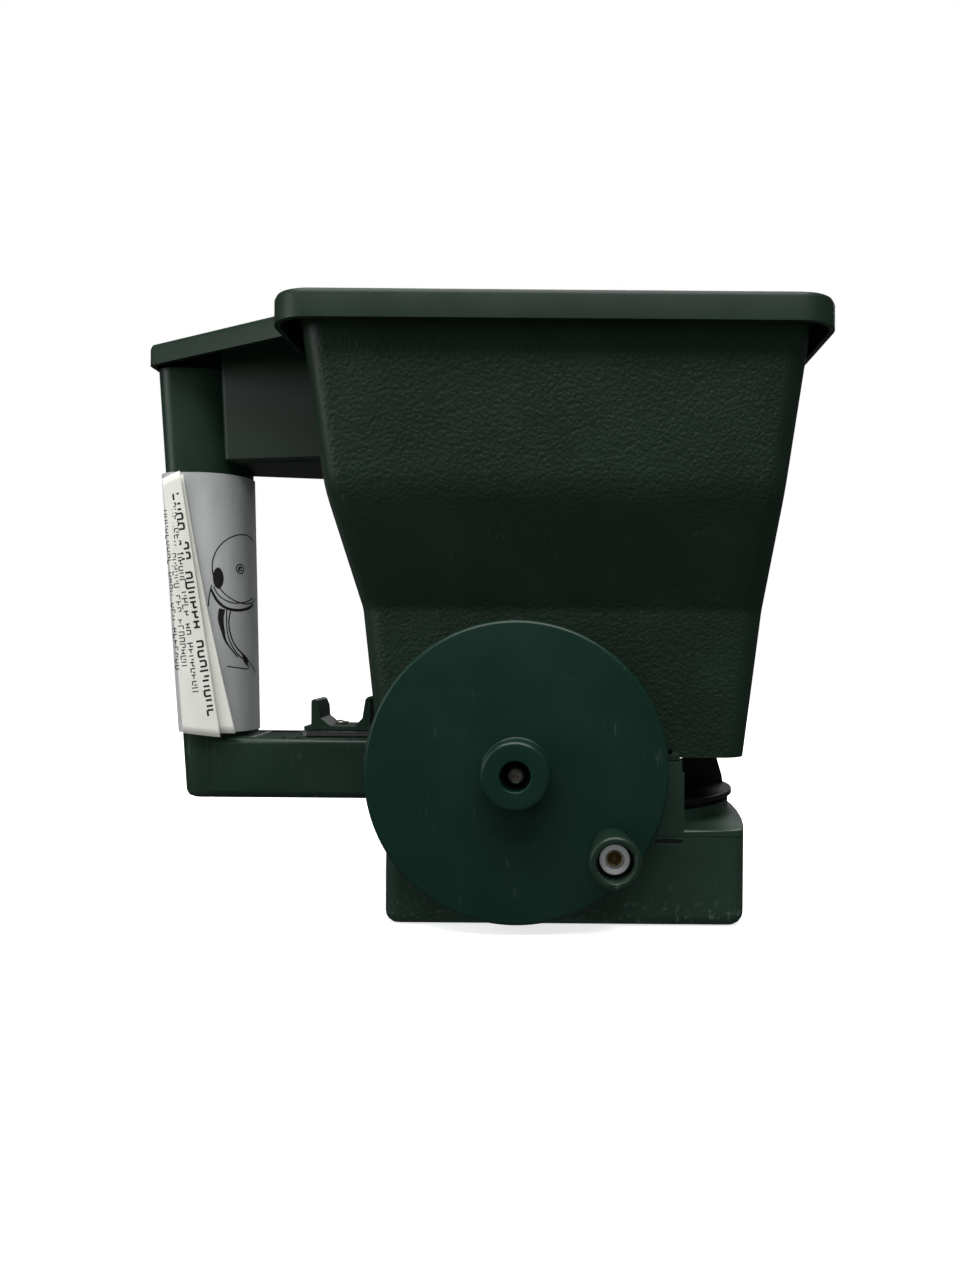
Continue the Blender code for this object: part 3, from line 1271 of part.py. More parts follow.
def make_gate_guide(black):
    """A channel under the hopper floor that the gate plate runs in."""
    rear, front = FOOT_REAR + HOPPER_WALL + 2 * PAST, OUTLET_REAR - GUIDE_BACK
    half = GATE_HALF + RUN + GUIDE_FLANGE
    top = FLOOR_BOTTOM - GAP
    low = GATE_Z - RUN - GUIDE_THICK
    guide = piece("gate_guide", box(rear, front, -half, half, low, top), black)
    channel = box(rear - PAST, front + PAST, -GATE_HALF - RUN, GATE_HALF + RUN, GATE_Z - RUN, top + PAST)
    cut(guide, "guide_channel", channel)
    holes = [moved(rod(PILOT, low - PAST, top + PAST, 12), x, y)
             for x, y in guide_screw_places()]
    cut(guide, "guide_holes", combined(*holes))


def make_screws(zinc):
    for number, (x, y, z) in enumerate(screw_places_hopper(), 1):
        length = HOPPER_SCREW_REAR if number < 3 else HOPPER_SCREW_EAR
        shape = moved(screw_shape(length), x, y, z + GAP)
        piece(f"hopper_screw_{number}", shape, zinc, (x, y, z))
    for number, (x, y) in enumerate(base_screw_places(), 1):
        shape = screw_shape(BASE_SCREW)
        shape.transform(Matrix.Rotation(pi, 4, "X"))
        piece(f"base_screw_{number}", moved(shape, x, y, SINK_DEPTH - GAP), zinc, (x, y, SINK_DEPTH))
    for number, (y, z) in enumerate(arm_screw_places(), 1):
        shape = screw_shape(WALL_THICK + ARM_FLANGE + GAP)
        shape.transform(Matrix.Rotation(radians(90), 4, "Y"))
        place = (TUB_REAR + WALL_THICK + GAP, y, z)
        piece(f"arm_screw_{number}", moved(shape, *place), zinc, place)
    for number, (x, y) in enumerate(guide_screw_places(), 1):
        low = GATE_Z - RUN - GUIDE_THICK
        shape = screw_shape(FLOOR_TOP - low, SCREW_HEAD_RADIUS, GUIDE_SCREW_HEAD)
        shape.transform(Matrix.Rotation(pi, 4, "X"))
        piece(f"guide_screw_{number}", moved(shape, x, y, low - GAP), zinc, (x, y, low))
    x = grip_top_centre()
    piece("handle_screw", moved(screw_shape(HANDLE_SCREW), x, 0, RIM_TOP + GAP), zinc, (x, 0, RIM_TOP))


# ---------------------------------------------------------------- leaflet


def leaflet_ring(z):
    """A loose open wrap round the near side of the grip."""
    rear, front = grip_ends(z)
    sides = []
    for out in (LEAFLET_AIR, LEAFLET_AIR + LEAFLET_THICK):
        near = -(GRIP_HALF + out)
        sides.append(
            rounded(
                [(rear - out, LEAFLET_BACK, 0), (rear - out, near, GRIP_CORNER + out),
                 (front + out, near, GRIP_FRONT_CORNER + out), (front + out, LEAFLET_BACK, 0)], 6
            )
        )
    return at_height(sides[0] + list(reversed(sides[1])), z)


def make_leaflet(paper):
    wrap = loft([leaflet_ring(LEAFLET_LOW), leaflet_ring(LEAFLET_HIGH)])
    leaflet = piece("instruction_leaflet", wrap, paper)
    near = -(GRIP_HALF + LEAFLET_AIR + LEAFLET_THICK)
    flap = []
    low = (LEAFLET_LOW, FLAP_LOW_WIDTH, FLAP_LOW_STAND)
    high = (LEAFLET_HIGH - PAST, FLAP_HIGH_WIDTH, FLAP_HIGH_STAND)
    for z, width, stand in (low, high):
        rear = grip_ends(z)[0] - LEAFLET_AIR
        edge, hold = near - stand, rear + GRIP_CORNER + SUNK
        outline = [
            (rear, edge),
            (rear + width, edge - 1.5 * LEAFLET_THICK),
            (rear + width, edge - LEAFLET_THICK / 2),
            (hold + 2 * LEAFLET_THICK, near + LEAFLET_THICK / 2),
            (hold, near + LEAFLET_THICK / 2),
            (rear, edge + LEAFLET_THICK),
        ]
        flap.append(at_height(outline, z))
    add(leaflet, "leaflet_flap", loft(flap))


def main():
    clear_scene()
    green = plastic("moulded green plastic", GREEN, 0.45)
    wheel_green = plastic("satin green plastic", WHEEL_GREEN, 0.38)
    black = plastic("black plastic", BLACK, 0.42)
    steel = plastic("bright steel", STEEL, 0.25, 1.0)
    zinc = plastic("zinc plated steel", STEEL, 0.3, 1.0)
    bronze = plastic("sintered bronze", BRASS, 0.4, 1.0)
    brass = plastic("yellow passivated steel", BRASS, 0.3, 1.0)
    nylon = plastic("white nylon", NYLON, 0.45)
    acetal = plastic("natural acetal", ACETAL, 0.4)
    paper = plastic("printed paper", PAPER, 0.7)
    make_hopper(green)
    make_hopper_bush(bronze)
    make_tub(green)
    make_housing(green)
    make_handle(green)
    make_wheel(wheel_green)
    make_crank_gear(acetal)
    make_axle(steel)
    make_crank_screw(zinc)
    make_knob(wheel_green, nylon, brass)
    make_countershaft(steel, acetal, bronze)
    make_bevels(acetal)
    make_impeller(black)
    make_impeller_shaft(steel, bronze, black, nylon)
    make_gate(steel, green, zinc)
    make_gate_guide(black)
    make_screws(zinc)
    make_leaflet(paper)


main()
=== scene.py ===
"""Looks of a hand-held crank spreader for seed and granules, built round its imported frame.

Metres, +Z up, +X the side the seed is thrown to, the crank wheel on the -Y side. Each class is one
sub-assembly: it holds its own sizes, builds its meshes and dresses them.
"""

import logging
import random
from dataclasses import dataclass
from enum import Enum
from math import acos, atan2, cos, pi, radians, sin, tan
from typing import Callable, Iterable, Optional, Sequence, Union

import bmesh
import bpy
from mathutils import Matrix, Vector


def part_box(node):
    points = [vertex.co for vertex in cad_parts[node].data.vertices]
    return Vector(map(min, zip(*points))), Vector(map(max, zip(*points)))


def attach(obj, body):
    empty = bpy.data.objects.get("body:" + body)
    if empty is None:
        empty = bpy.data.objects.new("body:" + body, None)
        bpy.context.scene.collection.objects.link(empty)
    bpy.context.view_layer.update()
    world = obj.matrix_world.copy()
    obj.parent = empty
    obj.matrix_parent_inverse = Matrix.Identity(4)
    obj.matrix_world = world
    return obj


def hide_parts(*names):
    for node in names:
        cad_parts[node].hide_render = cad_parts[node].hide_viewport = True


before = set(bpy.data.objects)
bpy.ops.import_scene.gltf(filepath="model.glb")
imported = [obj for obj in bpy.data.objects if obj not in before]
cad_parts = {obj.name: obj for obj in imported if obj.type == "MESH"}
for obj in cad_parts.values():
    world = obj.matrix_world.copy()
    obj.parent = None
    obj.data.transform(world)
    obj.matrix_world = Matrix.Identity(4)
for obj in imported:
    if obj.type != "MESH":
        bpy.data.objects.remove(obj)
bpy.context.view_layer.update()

LOG = logging.getLogger("spreader")
DUST = "6f7f76"
WHITE = (1, 1, 1, 1)
MM = 0.001
WELD = 2e-6  # the frame's triangles are joined where their corners meet
FLAT = radians(0.35)  # neighbours flatter than this become one face

Pair = tuple[float, float]
Triple = tuple[float, float, float]
EVEN: Triple = (1.0, 1.0, 1.0)
Tree = bpy.types.NodeTree
Socket = bpy.types.NodeSocket
Value = Union[Socket, float, int, str, bool, Sequence[float], bpy.types.ID]


# ---------------------------------------------------------------- nodes


def linear(code: str) -> tuple[float, float, float, float]:
    """Turns an sRGB hex value to the linear colour that the shaders take.

    Args:
        code: six hex digits, red first.

    Returns:
        Red, green, blue and alpha.
    """
    channels = [int(code[i : i + 2], 16) / 255 for i in (0, 2, 4)]
    red, green, blue = (c / 12.92 if c <= 0.04045 else ((c + 0.055) / 1.055) ** 2.4 for c in channels)
    return red, green, blue, 1.0


def add(
    tree: Tree, kind: str, inputs: Optional[dict[Union[str, int], Value]] = None, **settings: Value
) -> bpy.types.Node:
    """Adds one node with its settings, its values and its links.

    Args:
        tree: the tree that it goes in.
        kind: the node's type name.
        inputs: a socket to link from, or a value, for each input named or numbered.
        settings: the node's own properties.

    Returns:
        The new node.
    """
    made = tree.nodes.new(kind)
    for key, value in settings.items():
        setattr(made, key, value)
    for key, value in (inputs or {}).items():
        if isinstance(value, Socket):
            tree.links.new(value, made.inputs[key])
        else:
            made.inputs[key].default_value = value
    return made


def maths(tree: Tree, operation: str, first: Value, second: Value = 0.0, third: Value = 0.0) -> Socket:
    """One Math node.

    Args:
        tree: the tree that it goes in.
        operation: the node's operation.
        first: its first operand, and second and third the others.

    Returns:
        The result's socket.
    """
    return add(tree, "ShaderNodeMath", {0: first, 1: second, 2: third}, operation=operation).outputs[0]


def ramp(tree: Tree, value: Value, low: float, high: float, start: float = 0.0, end: float = 1.0) -> Socket:
    """A smooth step of value from low to high, as a number from start to end.

    Returns:
        The number's socket.
    """
    inputs = {"Value": value, "From Min": low, "From Max": high, "To Min": start, "To Max": end}
    return add(tree, "ShaderNodeMapRange", inputs, interpolation_type="SMOOTHSTEP").outputs[0]


def blend(tree: Tree, share: Value, first: Value, second: Value) -> Socket:
    """The colour between first and second.

    Args:
        tree: the tree that the node goes in.
        share: how much of the second colour there is.
        first: the colour at 0.
        second: the colour at 1.

    Returns:
        The mixed colour's socket.
    """
    mixer = add(tree, "ShaderNodeMix", data_type="RGBA")
    for socket, value in zip((mixer.inputs[0], mixer.inputs[6], mixer.inputs[7]), (share, first, second)):
        if isinstance(value, Socket):
            tree.links.new(value, socket)
        else:
            socket.default_value = value
    return mixer.outputs[2]


def noise(tree: Tree, where: Socket, size: float, detail: float = 2.0, stretch: Triple = EVEN) -> Socket:
    """Cloudy noise.

    Args:
        tree: the tree that it goes in.
        where: the place that it is sampled at.
        size: roughly how far its blobs reach, in metres.
        detail: how many finer layers it has.
        stretch: a scale along each axis, for streaks.

    Returns:
        The noise's socket, about 0 to 1.
    """
    if stretch != EVEN:
        where = add(tree, "ShaderNodeMapping", {"Vector": where, "Scale": stretch}).outputs[0]
    return add(tree, "ShaderNodeTexNoise", {"Vector": where, "Scale": 1 / size, "Detail": detail}).outputs[0]


def level(tree: Tree, z: Socket, heights: Sequence[float], sizes: Sequence[float]) -> Socket:
    """A size that changes with the height z.

    Args:
        tree: the tree that the nodes go in.
        z: the height.
        heights: where the size is known.
        sizes: the size at each of them.

    Returns:
        The size's socket.
    """
    total: Value = sizes[0]
    for low, high, first, second in zip(heights, heights[1:], sizes, sizes[1:]):
        rise = add(tree, "ShaderNodeMapRange", {0: z, 1: low, 2: high, 3: 0.0, 4: second - first}).outputs[0]
        total = maths(tree, "ADD", total, rise)
    return total


def new_material(name: str) -> tuple[bpy.types.Material, Tree, bpy.types.Node, Socket]:
    """Starts a material.

    Returns:
        The material, its tree, its shader and the object's own coordinates.
    """
    made = bpy.data.materials.new(name)
    made.use_nodes = True
    tree = made.node_tree
    where = add(tree, "ShaderNodeTexCoord").outputs["Object"]
    return made, tree, tree.nodes["Principled BSDF"], where


def wire(tree: Tree, shader: bpy.types.Node, base: Socket, rough: Socket, normal: Socket) -> None:
    """Links a finish's colour, roughness and relief to its shader."""
    for key, value in (("Base Color", base), ("Roughness", rough), ("Normal", normal)):
        tree.links.new(value, shader.inputs[key])


# ---------------------------------------------------------------- finishes


class Grain(Enum):
    """How the mould's steel was finished."""

    SATIN = "satin"
    HOPPER = "pebbled, with smooth margins"


@dataclass(frozen=True)
class HopperPlan:
    """The hopper's outside, at its foot, its waist, its shoulder and its mouth."""

    heights: Sequence[float] = (61.6 * MM, 117.0 * MM, 159.8 * MM, 225.5 * MM)
    rear: Sequence[float] = (-66.8 * MM, -72.6 * MM, -82.9 * MM, -91.2 * MM)
    front: Sequence[float] = (73.4 * MM, 79.7 * MM, 83.8 * MM, 92.2 * MM)
    half: Sequence[float] = (50.0 * MM, 52.5 * MM, 72.0 * MM, 78.5 * MM)
    margin: Pair = (4.0 * MM, 7.5 * MM)  # smooth to this far from a corner, grained past it
    below_rim: Pair = (208.5 * MM, 212.5 * MM)
    slope: Sequence[float] = (117.5 * MM, 121.0 * MM, 150.0 * MM, 158.0 * MM)
    neck_under: float = 180.0 * MM


@dataclass(frozen=True)
class MouldedPlastic:
    """Polypropylene, injection moulded: a soft satin with a faint peel, dust specks and handling scuffs."""

    name: str
    colour: str
    pale: str
    roughness: float = 0.42
    grain: Grain = Grain.SATIN
    scuffs: float = 0.35
    low_scuffs: float = 0.0
    peel: float = 0.010 * MM
    ior: float = 1.49
    gloss: float = 0.35

    def pebble(self, tree: Tree, where: Socket) -> tuple[Socket, Socket]:
        """The leather-like grain of the hopper's outside.

        Args:
            tree: the material's tree.
            where: the object's own coordinates.

        Returns:
            The grain's height in metres, and where it is.
        """
        place = add(tree, "ShaderNodeSeparateXYZ", {0: where}).outputs
        x, y, z = place[0], maths(tree, "ABSOLUTE", place[1]), place[2]
        plan = HopperPlan()
        rear, front, half = (level(tree, z, plan.heights, sizes) for sizes in (plan.rear, plan.front, plan.half))
        across = maths(tree, "MINIMUM", maths(tree, "SUBTRACT", x, rear), maths(tree, "SUBTRACT", front, x))
        along = maths(tree, "SUBTRACT", half, y)
        inwards = ramp(tree, maths(tree, "MAXIMUM", across, along), *plan.margin)
        below_rim = ramp(tree, z, *plan.below_rim, 1.0, 0.0)
        rising, falling = ramp(tree, z, *plan.slope[:2]), ramp(tree, z, *plan.slope[2:], 1.0, 0.0)
        slope = maths(tree, "MULTIPLY", rising, falling)
        slope_share = maths(tree, "SUBTRACT", 1.0, maths(tree, "MULTIPLY", slope, 0.55))
        normal = add(tree, "ShaderNodeNewGeometry").outputs["Normal"]
        flat_place = add(tree, "ShaderNodeVectorMath", {0: where, 1: (1, 1, 0)}, operation="MULTIPLY").outputs[0]
        facing = add(tree, "ShaderNodeVectorMath", {0: normal, 1: flat_place}, operation="DOT_PRODUCT")
        outside = maths(tree, "GREATER_THAN", facing.outputs["Value"], 0.0)
        walls = maths(tree, "MULTIPLY", maths(tree, "MULTIPLY", inwards, below_rim), outside)
        walls = maths(tree, "MULTIPLY", walls, slope_share)
        on_neck = maths(tree, "LESS_THAN", maths(tree, "SUBTRACT", x, rear), -1.2 * MM)
        downward = maths(tree, "LESS_THAN", add(tree, "ShaderNodeSeparateXYZ", {0: normal}).outputs[2], -0.5)
        underside = maths(tree, "MULTIPLY", downward, maths(tree, "LESS_THAN", z, plan.neck_under))
        mask = add(tree, "ShaderNodeMix", {0: on_neck, 2: walls, 3: underside}).outputs[0]
        # The grain's pebbles are about 1.3 mm apart, and uneven.
        bent = add(tree, "ShaderNodeTexNoise", {"Vector": where, "Scale": 1 / (2.2 * MM), "Detail": 1.0}).outputs[1]
        shifted = add(tree, "ShaderNodeVectorMath", {0: bent, 1: (0.9 * MM,) * 3, 2: where}, operation="MULTIPLY_ADD")
        spacing = {"Vector": shifted.outputs[0], "Scale": 1 / (1.35 * MM), "Smoothness": 0.45}
        cells = add(tree, "ShaderNodeTexVoronoi", spacing, feature="SMOOTH_F1")
        uneven = noise(tree, where, 3.0 * MM, 3.0)
        bumps = maths(tree, "MULTIPLY_ADD", cells.outputs["Distance"], -1.0, maths(tree, "MULTIPLY", uneven, 0.8))
        return maths(tree, "MULTIPLY", maths(tree, "MULTIPLY", bumps, 0.26 * MM), mask), mask

    def material(self) -> bpy.types.Material:
        """Builds the plastic.

        Returns:
            The material.
        """
        made, tree, shader, where = new_material(self.name)
        cloud = ramp(tree, noise(tree, where, 28 * MM, 3.0), 0.35, 0.7)
        fine = noise(tree, where, 1.1 * MM, 2.0)
        specks = ramp(tree, noise(tree, where, 1.5 * MM, 1.0), 0.765, 0.80)
        scratches = noise(tree, where, 1.2 * MM, 2.0, (1.0, 1.0, 0.12))
        patches = ramp(tree, noise(tree, where, 17 * MM, 3.0), 0.54, 0.68)
        scuffs = maths(tree, "MULTIPLY", ramp(tree, scratches, 0.60, 0.70), patches)
        height = add(tree, "ShaderNodeSeparateXYZ", {0: where}).outputs[2]
        low = maths(tree, "MULTIPLY", ramp(tree, height, 14 * MM, 2 * MM), self.low_scuffs)
        worn = maths(tree, "MULTIPLY", ramp(tree, noise(tree, where, 2.4 * MM, 4.0), 0.56, 0.66), low)
        marks = maths(tree, "MULTIPLY", maths(tree, "MAXIMUM", scuffs, specks), self.scuffs)
        marks = maths(tree, "ADD", marks, worn)
        base = blend(tree, maths(tree, "MULTIPLY", cloud, 0.45), linear(self.colour), linear(self.pale))
        base = blend(tree, maths(tree, "MULTIPLY", marks, 0.5), base, linear(DUST))
        rough = maths(tree, "MULTIPLY_ADD", cloud, 0.05, self.roughness)
        rough = maths(tree, "MULTIPLY_ADD", marks, 0.12, rough)
        relief = maths(tree, "MULTIPLY", fine, self.peel)
        if self.grain is Grain.HOPPER:
            pebbles, mask = self.pebble(tree, where)
            relief = maths(tree, "ADD", relief, pebbles)
            rough = maths(tree, "MULTIPLY_ADD", mask, 0.06, rough)
        relief = maths(tree, "MULTIPLY_ADD", marks, 0.01 * MM, relief)
        bump = add(tree, "ShaderNodeBump", {"Height": relief, "Distance": 1.0, "Strength": 1.0})
        wire(tree, shader, base, rough, bump.outputs[0])
        shader.inputs["IOR"].default_value = self.ior
        shader.inputs["Specular IOR Level"].default_value = self.gloss
        return made


@dataclass(frozen=True)
class Metal:
    """Steel or bronze as it comes off the machine: fine turning lines, dull patches and small pits."""

    name: str
    colour: str
    tint: str
    roughness: float

    def material(self) -> bpy.types.Material:
        """Builds the metal.

        Returns:
            The material.
        """
        made, tree, shader, where = new_material(self.name)
        patches = ramp(tree, noise(tree, where, 4 * MM, 4.0), 0.4, 0.65)
        lines = noise(tree, where, 0.5 * MM, 2.0, (1.0, 1.0, 0.2))
        base = blend(tree, patches, linear(self.colour), linear(self.tint))
        rough = maths(tree, "MULTIPLY_ADD", lines, 0.16, self.roughness - 0.06)
        rough = maths(tree, "MULTIPLY_ADD", patches, 0.08, rough)
        height = maths(tree, "MULTIPLY", lines, 0.006 * MM)
        bump = add(tree, "ShaderNodeBump", {"Height": height, "Distance": 1.0})
        shader.inputs["Metallic"].default_value = 1.0
        wire(tree, shader, base, rough, bump.outputs[0])
        return made


@dataclass(frozen=True)
class Paper:
    """Uncoated printing paper: matt, with fibres and soft handling waves. The waves shade the paper through their
    relief, and also as painted shade mixed into its colour.
    """

    name: str
    colour: str
    shade: str

    def material(self) -> bpy.types.Material:
        """Builds the paper.

        Returns:
            The material.
        """
        made, tree, shader, where = new_material(self.name)
        fibres = noise(tree, where, 0.5 * MM, 4.0, (1.0, 1.0, 0.4))
        waves = noise(tree, where, 12 * MM, 2.0, (1.0, 1.0, 0.35))
        # Painted shade: the colour darkens towards the shade colour where the waves rise, on top of the shading that
        # their relief gives.
        base = blend(tree, ramp(tree, waves, 0.3, 0.75, 0.0, 0.8), linear(self.colour), linear(self.shade))
        height = maths(tree, "MULTIPLY_ADD", waves, 0.5 * MM, maths(tree, "MULTIPLY", fibres, 0.02 * MM))
        bump = add(tree, "ShaderNodeBump", {"Height": height, "Distance": 1.0, "Strength": 0.8})
        shader.inputs["Roughness"].default_value = 0.72
        shader.inputs["IOR"].default_value = 1.45
        tree.links.new(base, shader.inputs["Base Color"])
        tree.links.new(bump.outputs[0], shader.inputs["Normal"])
        return made


# ---------------------------------------------------------------- shapes


def rounded(corners: Sequence[Triple], steps: int = 6) -> list[Pair]:
    """An outline through corners, each turned by an arc.

    Args:
        corners: across, up and the arc's radius, for each corner in turn.
        steps: facets in an arc.

    Returns:
        The outline's points.
    """
    points: list[Pair] = []
    count = len(corners)
    for i, (across, up, radius) in enumerate(corners):
        here = Vector((across, up))
        if radius <= 0:
            points.append((across, up))
            continue
        last = (Vector(corners[i - 1][:2]) - here).normalized()
        after = (Vector(corners[(i + 1) % count][:2]) - here).normalized()
        half = acos(max(-1.0, min(1.0, last.dot(after)))) / 2
        centre = here + (last + after).normalized() * (radius / sin(half))
        start, end = here + last * (radius / tan(half)) - centre, here + after * (radius / tan(half)) - centre
        first = atan2(start.y, start.x)
        sweep = (atan2(end.y, end.x) - first + pi) % (2 * pi) - pi
        for step in range(steps + 1):
            turn = first + sweep * step / steps
            points.append((centre.x + radius * cos(turn), centre.y + radius * sin(turn)))
    return points


def lathe(profile: Sequence[Pair], centre: Pair, segments: int = 144) -> bmesh.types.BMesh:
    """Turns a closed profile round an axis that points to -Y.

    Args:
        profile: radius, and distance from the mid-plane towards -Y.
        centre: the axis's X and Z.
        segments: facets round the axis.

    Returns:
        The turned shape.
    """
    bm = bmesh.new()
    turns = [2 * pi * k / segments for k in range(segments)]
    rings = [
        [bm.verts.new((centre[0] + r * cos(t), -depth, centre[1] + r * sin(t))) for t in turns]
        for r, depth in profile
    ]
    for near, far in zip(rings, rings[1:] + rings[:1]):
        for k in range(segments):
            following = (k + 1) % segments
            bm.faces.new((near[k], near[following], far[following], far[k]))
    bmesh.ops.recalc_face_normals(bm, faces=bm.faces)
    return bm


def as_object(
    name: str, bm: bmesh.types.BMesh, material: bpy.types.Material, sharp: float = 35.0
) -> bpy.types.Object:
    """Makes a smooth-shaded object of a shape that is already in place."""
    mesh = bpy.data.meshes.new(name)
    bm.to_mesh(mesh)
    bm.free()
    mesh.shade_smooth()
    mesh.set_sharp_from_angle(angle=radians(sharp))
    mesh.materials.append(material)
    obj = bpy.data.objects.new(name, mesh)
    bpy.context.scene.collection.objects.link(obj)
    return obj


def settled(obj: bpy.types.Object) -> bpy.types.Object:
    """Turns an object's modifiers into its plain mesh."""
    graph = bpy.context.evaluated_depsgraph_get()
    mesh = bpy.data.meshes.new_from_object(obj.evaluated_get(graph), depsgraph=graph)
    obj.modifiers.clear()
    obj.data = mesh
    mesh.name = obj.name
    return obj


def merged(node: str) -> bmesh.types.BMesh:
    """A frame node's solid with its triangles joined into whole faces."""
    bm = bmesh.new()
    bm.from_mesh(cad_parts[node].data)
    bmesh.ops.remove_doubles(bm, verts=bm.verts, dist=WELD)
    bmesh.ops.dissolve_degenerate(bm, edges=bm.edges, dist=WELD)
    bmesh.ops.dissolve_limit(bm, angle_limit=FLAT, verts=bm.verts, edges=bm.edges)
    return bm


def soften(bm: bmesh.types.BMesh, width: float, segments: int = 3, angle: float = 32.0) -> bmesh.types.BMesh:
    """Breaks the sharp edges of a shape with a small radius, where there is room for it.

    Args:
        bm: the shape.
        width: how far the radius reaches from the edge.
        segments: facets across it.
        angle: edges sharper than this are broken, in degrees.

    Returns:
        The same shape.
    """
    room = 2.2 * width
    edges = [
        edge
        for edge in bm.edges
        if edge.is_manifold
        and edge.calc_face_angle(0.0) > radians(angle)
        and edge.calc_length() > room
        and all(
            other.calc_length() > room or other.calc_face_angle(0.0) < radians(angle)
            for end in edge.verts
            for other in end.link_edges
            if other.is_manifold
        )
    ]
    bmesh.ops.bevel(
        bm, geom=edges, offset=width, segments=segments, affect="EDGES", profile=0.5, clamp_overlap=True,
        harden_normals=False,
    )
    return bm


def mount(obj: bpy.types.Object, body: str, slot: str, *nodes: str) -> bpy.types.Object:
    """Sets a finished piece on its body, and lets it stand for its frame nodes.

    Args:
        obj: the piece.
        body: the frame's body that it rides.
        slot: not used.
        nodes: the frame nodes that it replaces.

    Returns:
        The same piece.
    """
    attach(obj, body)
    if nodes:
        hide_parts(*nodes)
    LOG.info("%s: %d faces on %s", obj.name, len(obj.data.polygons), body)
    return obj


def boolean(obj: bpy.types.Object, tool: bpy.types.Object, operation: str) -> None:
    """Adds the step that joins a tool to an object, or cuts it away.

    Args:
        obj: the object that changes.
        tool: the other shape, removed once the step is settled.
        operation: UNION or DIFFERENCE.
    """
    step = obj.modifiers.new(tool.name, "BOOLEAN")
    step.operation, step.object, step.solver = operation, tool, "EXACT"


def softened_piece(
    name: str, node: str, material: bpy.types.Material, slot: str, body: str, width: float
) -> bpy.types.Object:
    """A frame node's solid with moulded edges, in place of the node.

    Args:
        name: the piece's name.
        node: the frame node.
        material: its finish.
        slot: a material slot name, handed on to mount.
        body: the frame's body that it rides.
        width: how far the edges' radius reaches.

    Returns:
        The mounted piece.
    """
    obj = as_object(name, soften(merged(node), width), material)
    obj.modifiers.new("even_shading", "WEIGHTED_NORMAL").keep_sharp = True
    settled(obj)
    return mount(obj, body, slot, node)


# ---------------------------------------------------------------- mouldings


@dataclass(frozen=True)
class Palette:
    """Every finish on the spreader, built once."""

    hopper: bpy.types.Material
    green: bpy.types.Material
    handle: bpy.types.Material
    wheel: bpy.types.Material
    knob: bpy.types.Material
    black: bpy.types.Material
    steel: bpy.types.Material
    zinc: bpy.types.Material
    yellow: bpy.types.Material
    dark: bpy.types.Material
    bronze: bpy.types.Material
    nylon: bpy.types.Material
    acetal: bpy.types.Material
    sheet: bpy.types.Material
    flap: bpy.types.Material
    ink: bpy.types.Material


def make_palette() -> Palette:
    """Builds the finishes from what each one really is, but the base's green holds painted floor light and the dark
    zinc holds painted shade.
    """
    return Palette(
        hopper=MouldedPlastic("pebbled_green_polypropylene", "14271b", "1b3023", 0.40, Grain.HOPPER, 0.12).material(),
        # Painted light: this green is lighter and greyer than the hopper's, standing in for the light that the floor
        # throws up onto the base. The housing shares it.
        green=MouldedPlastic("scuffed_green_polypropylene", "1f3429", "283f33", 0.34, low_scuffs=0.6).material(),
        handle=MouldedPlastic("green_polypropylene", "172c20", "1f352a", 0.34).material(),
        wheel=MouldedPlastic("satin_blue_green_polypropylene", "0c2a20", "153228", 0.32, scuffs=0.30).material(),
        knob=MouldedPlastic("handled_green_polypropylene", "16291f", "1d3127", 0.32, scuffs=0.30).material(),
        black=MouldedPlastic("black_polypropylene", "0a0b0a", "141615", 0.30, scuffs=0.25).material(),
        steel=Metal("ground_steel", "b4b6b5", "8d908f", 0.26).material(),
        zinc=Metal("zinc_plated_steel", "dcdacf", "b0ad9f", 0.30).material(),
        yellow=Metal("yellow_passivated_steel", "b89a62", "7c6434", 0.30).material(),
        bronze=Metal("sintered_bronze", "a4814e", "77592f", 0.42).material(),
        # Painted shade: zinc-plated steel painted dark, for the hub washer in the shade of the hub's recess; the
        # hopper's ear screws take it too.
        dark=Metal("oiled_black_steel", "2a2a29", "181817", 0.40).material(),
        nylon=MouldedPlastic("white_nylon", "f6f8f8", "ecefee", 0.38, scuffs=0.08, ior=1.53, gloss=0.5).material(),
        acetal=MouldedPlastic("natural_acetal", "d9d6c8", "c9c5b4", 0.34, scuffs=0.15, ior=1.48).material(),
        sheet=Paper("thin_leaflet_paper", "b9bcbb", "a3a7a6").material(),
        flap=Paper("leaflet_paper", "e6e6df", "d9d9cf").material(),
        ink=MouldedPlastic("printing_ink", "141414", "222222", 0.6, scuffs=0.1, peel=0.0).material(),
    )


@dataclass
class Hopper:
    """The hopper with its rolled rim, its neck and the plate over the grip."""

    edge: float = 0.45 * MM

    def build(self, finishes: Palette) -> None:
        """Builds and mounts it."""
        softened_piece("hopper_body", "hopper", finishes.hopper, "moulded_green", "frame", self.edge)


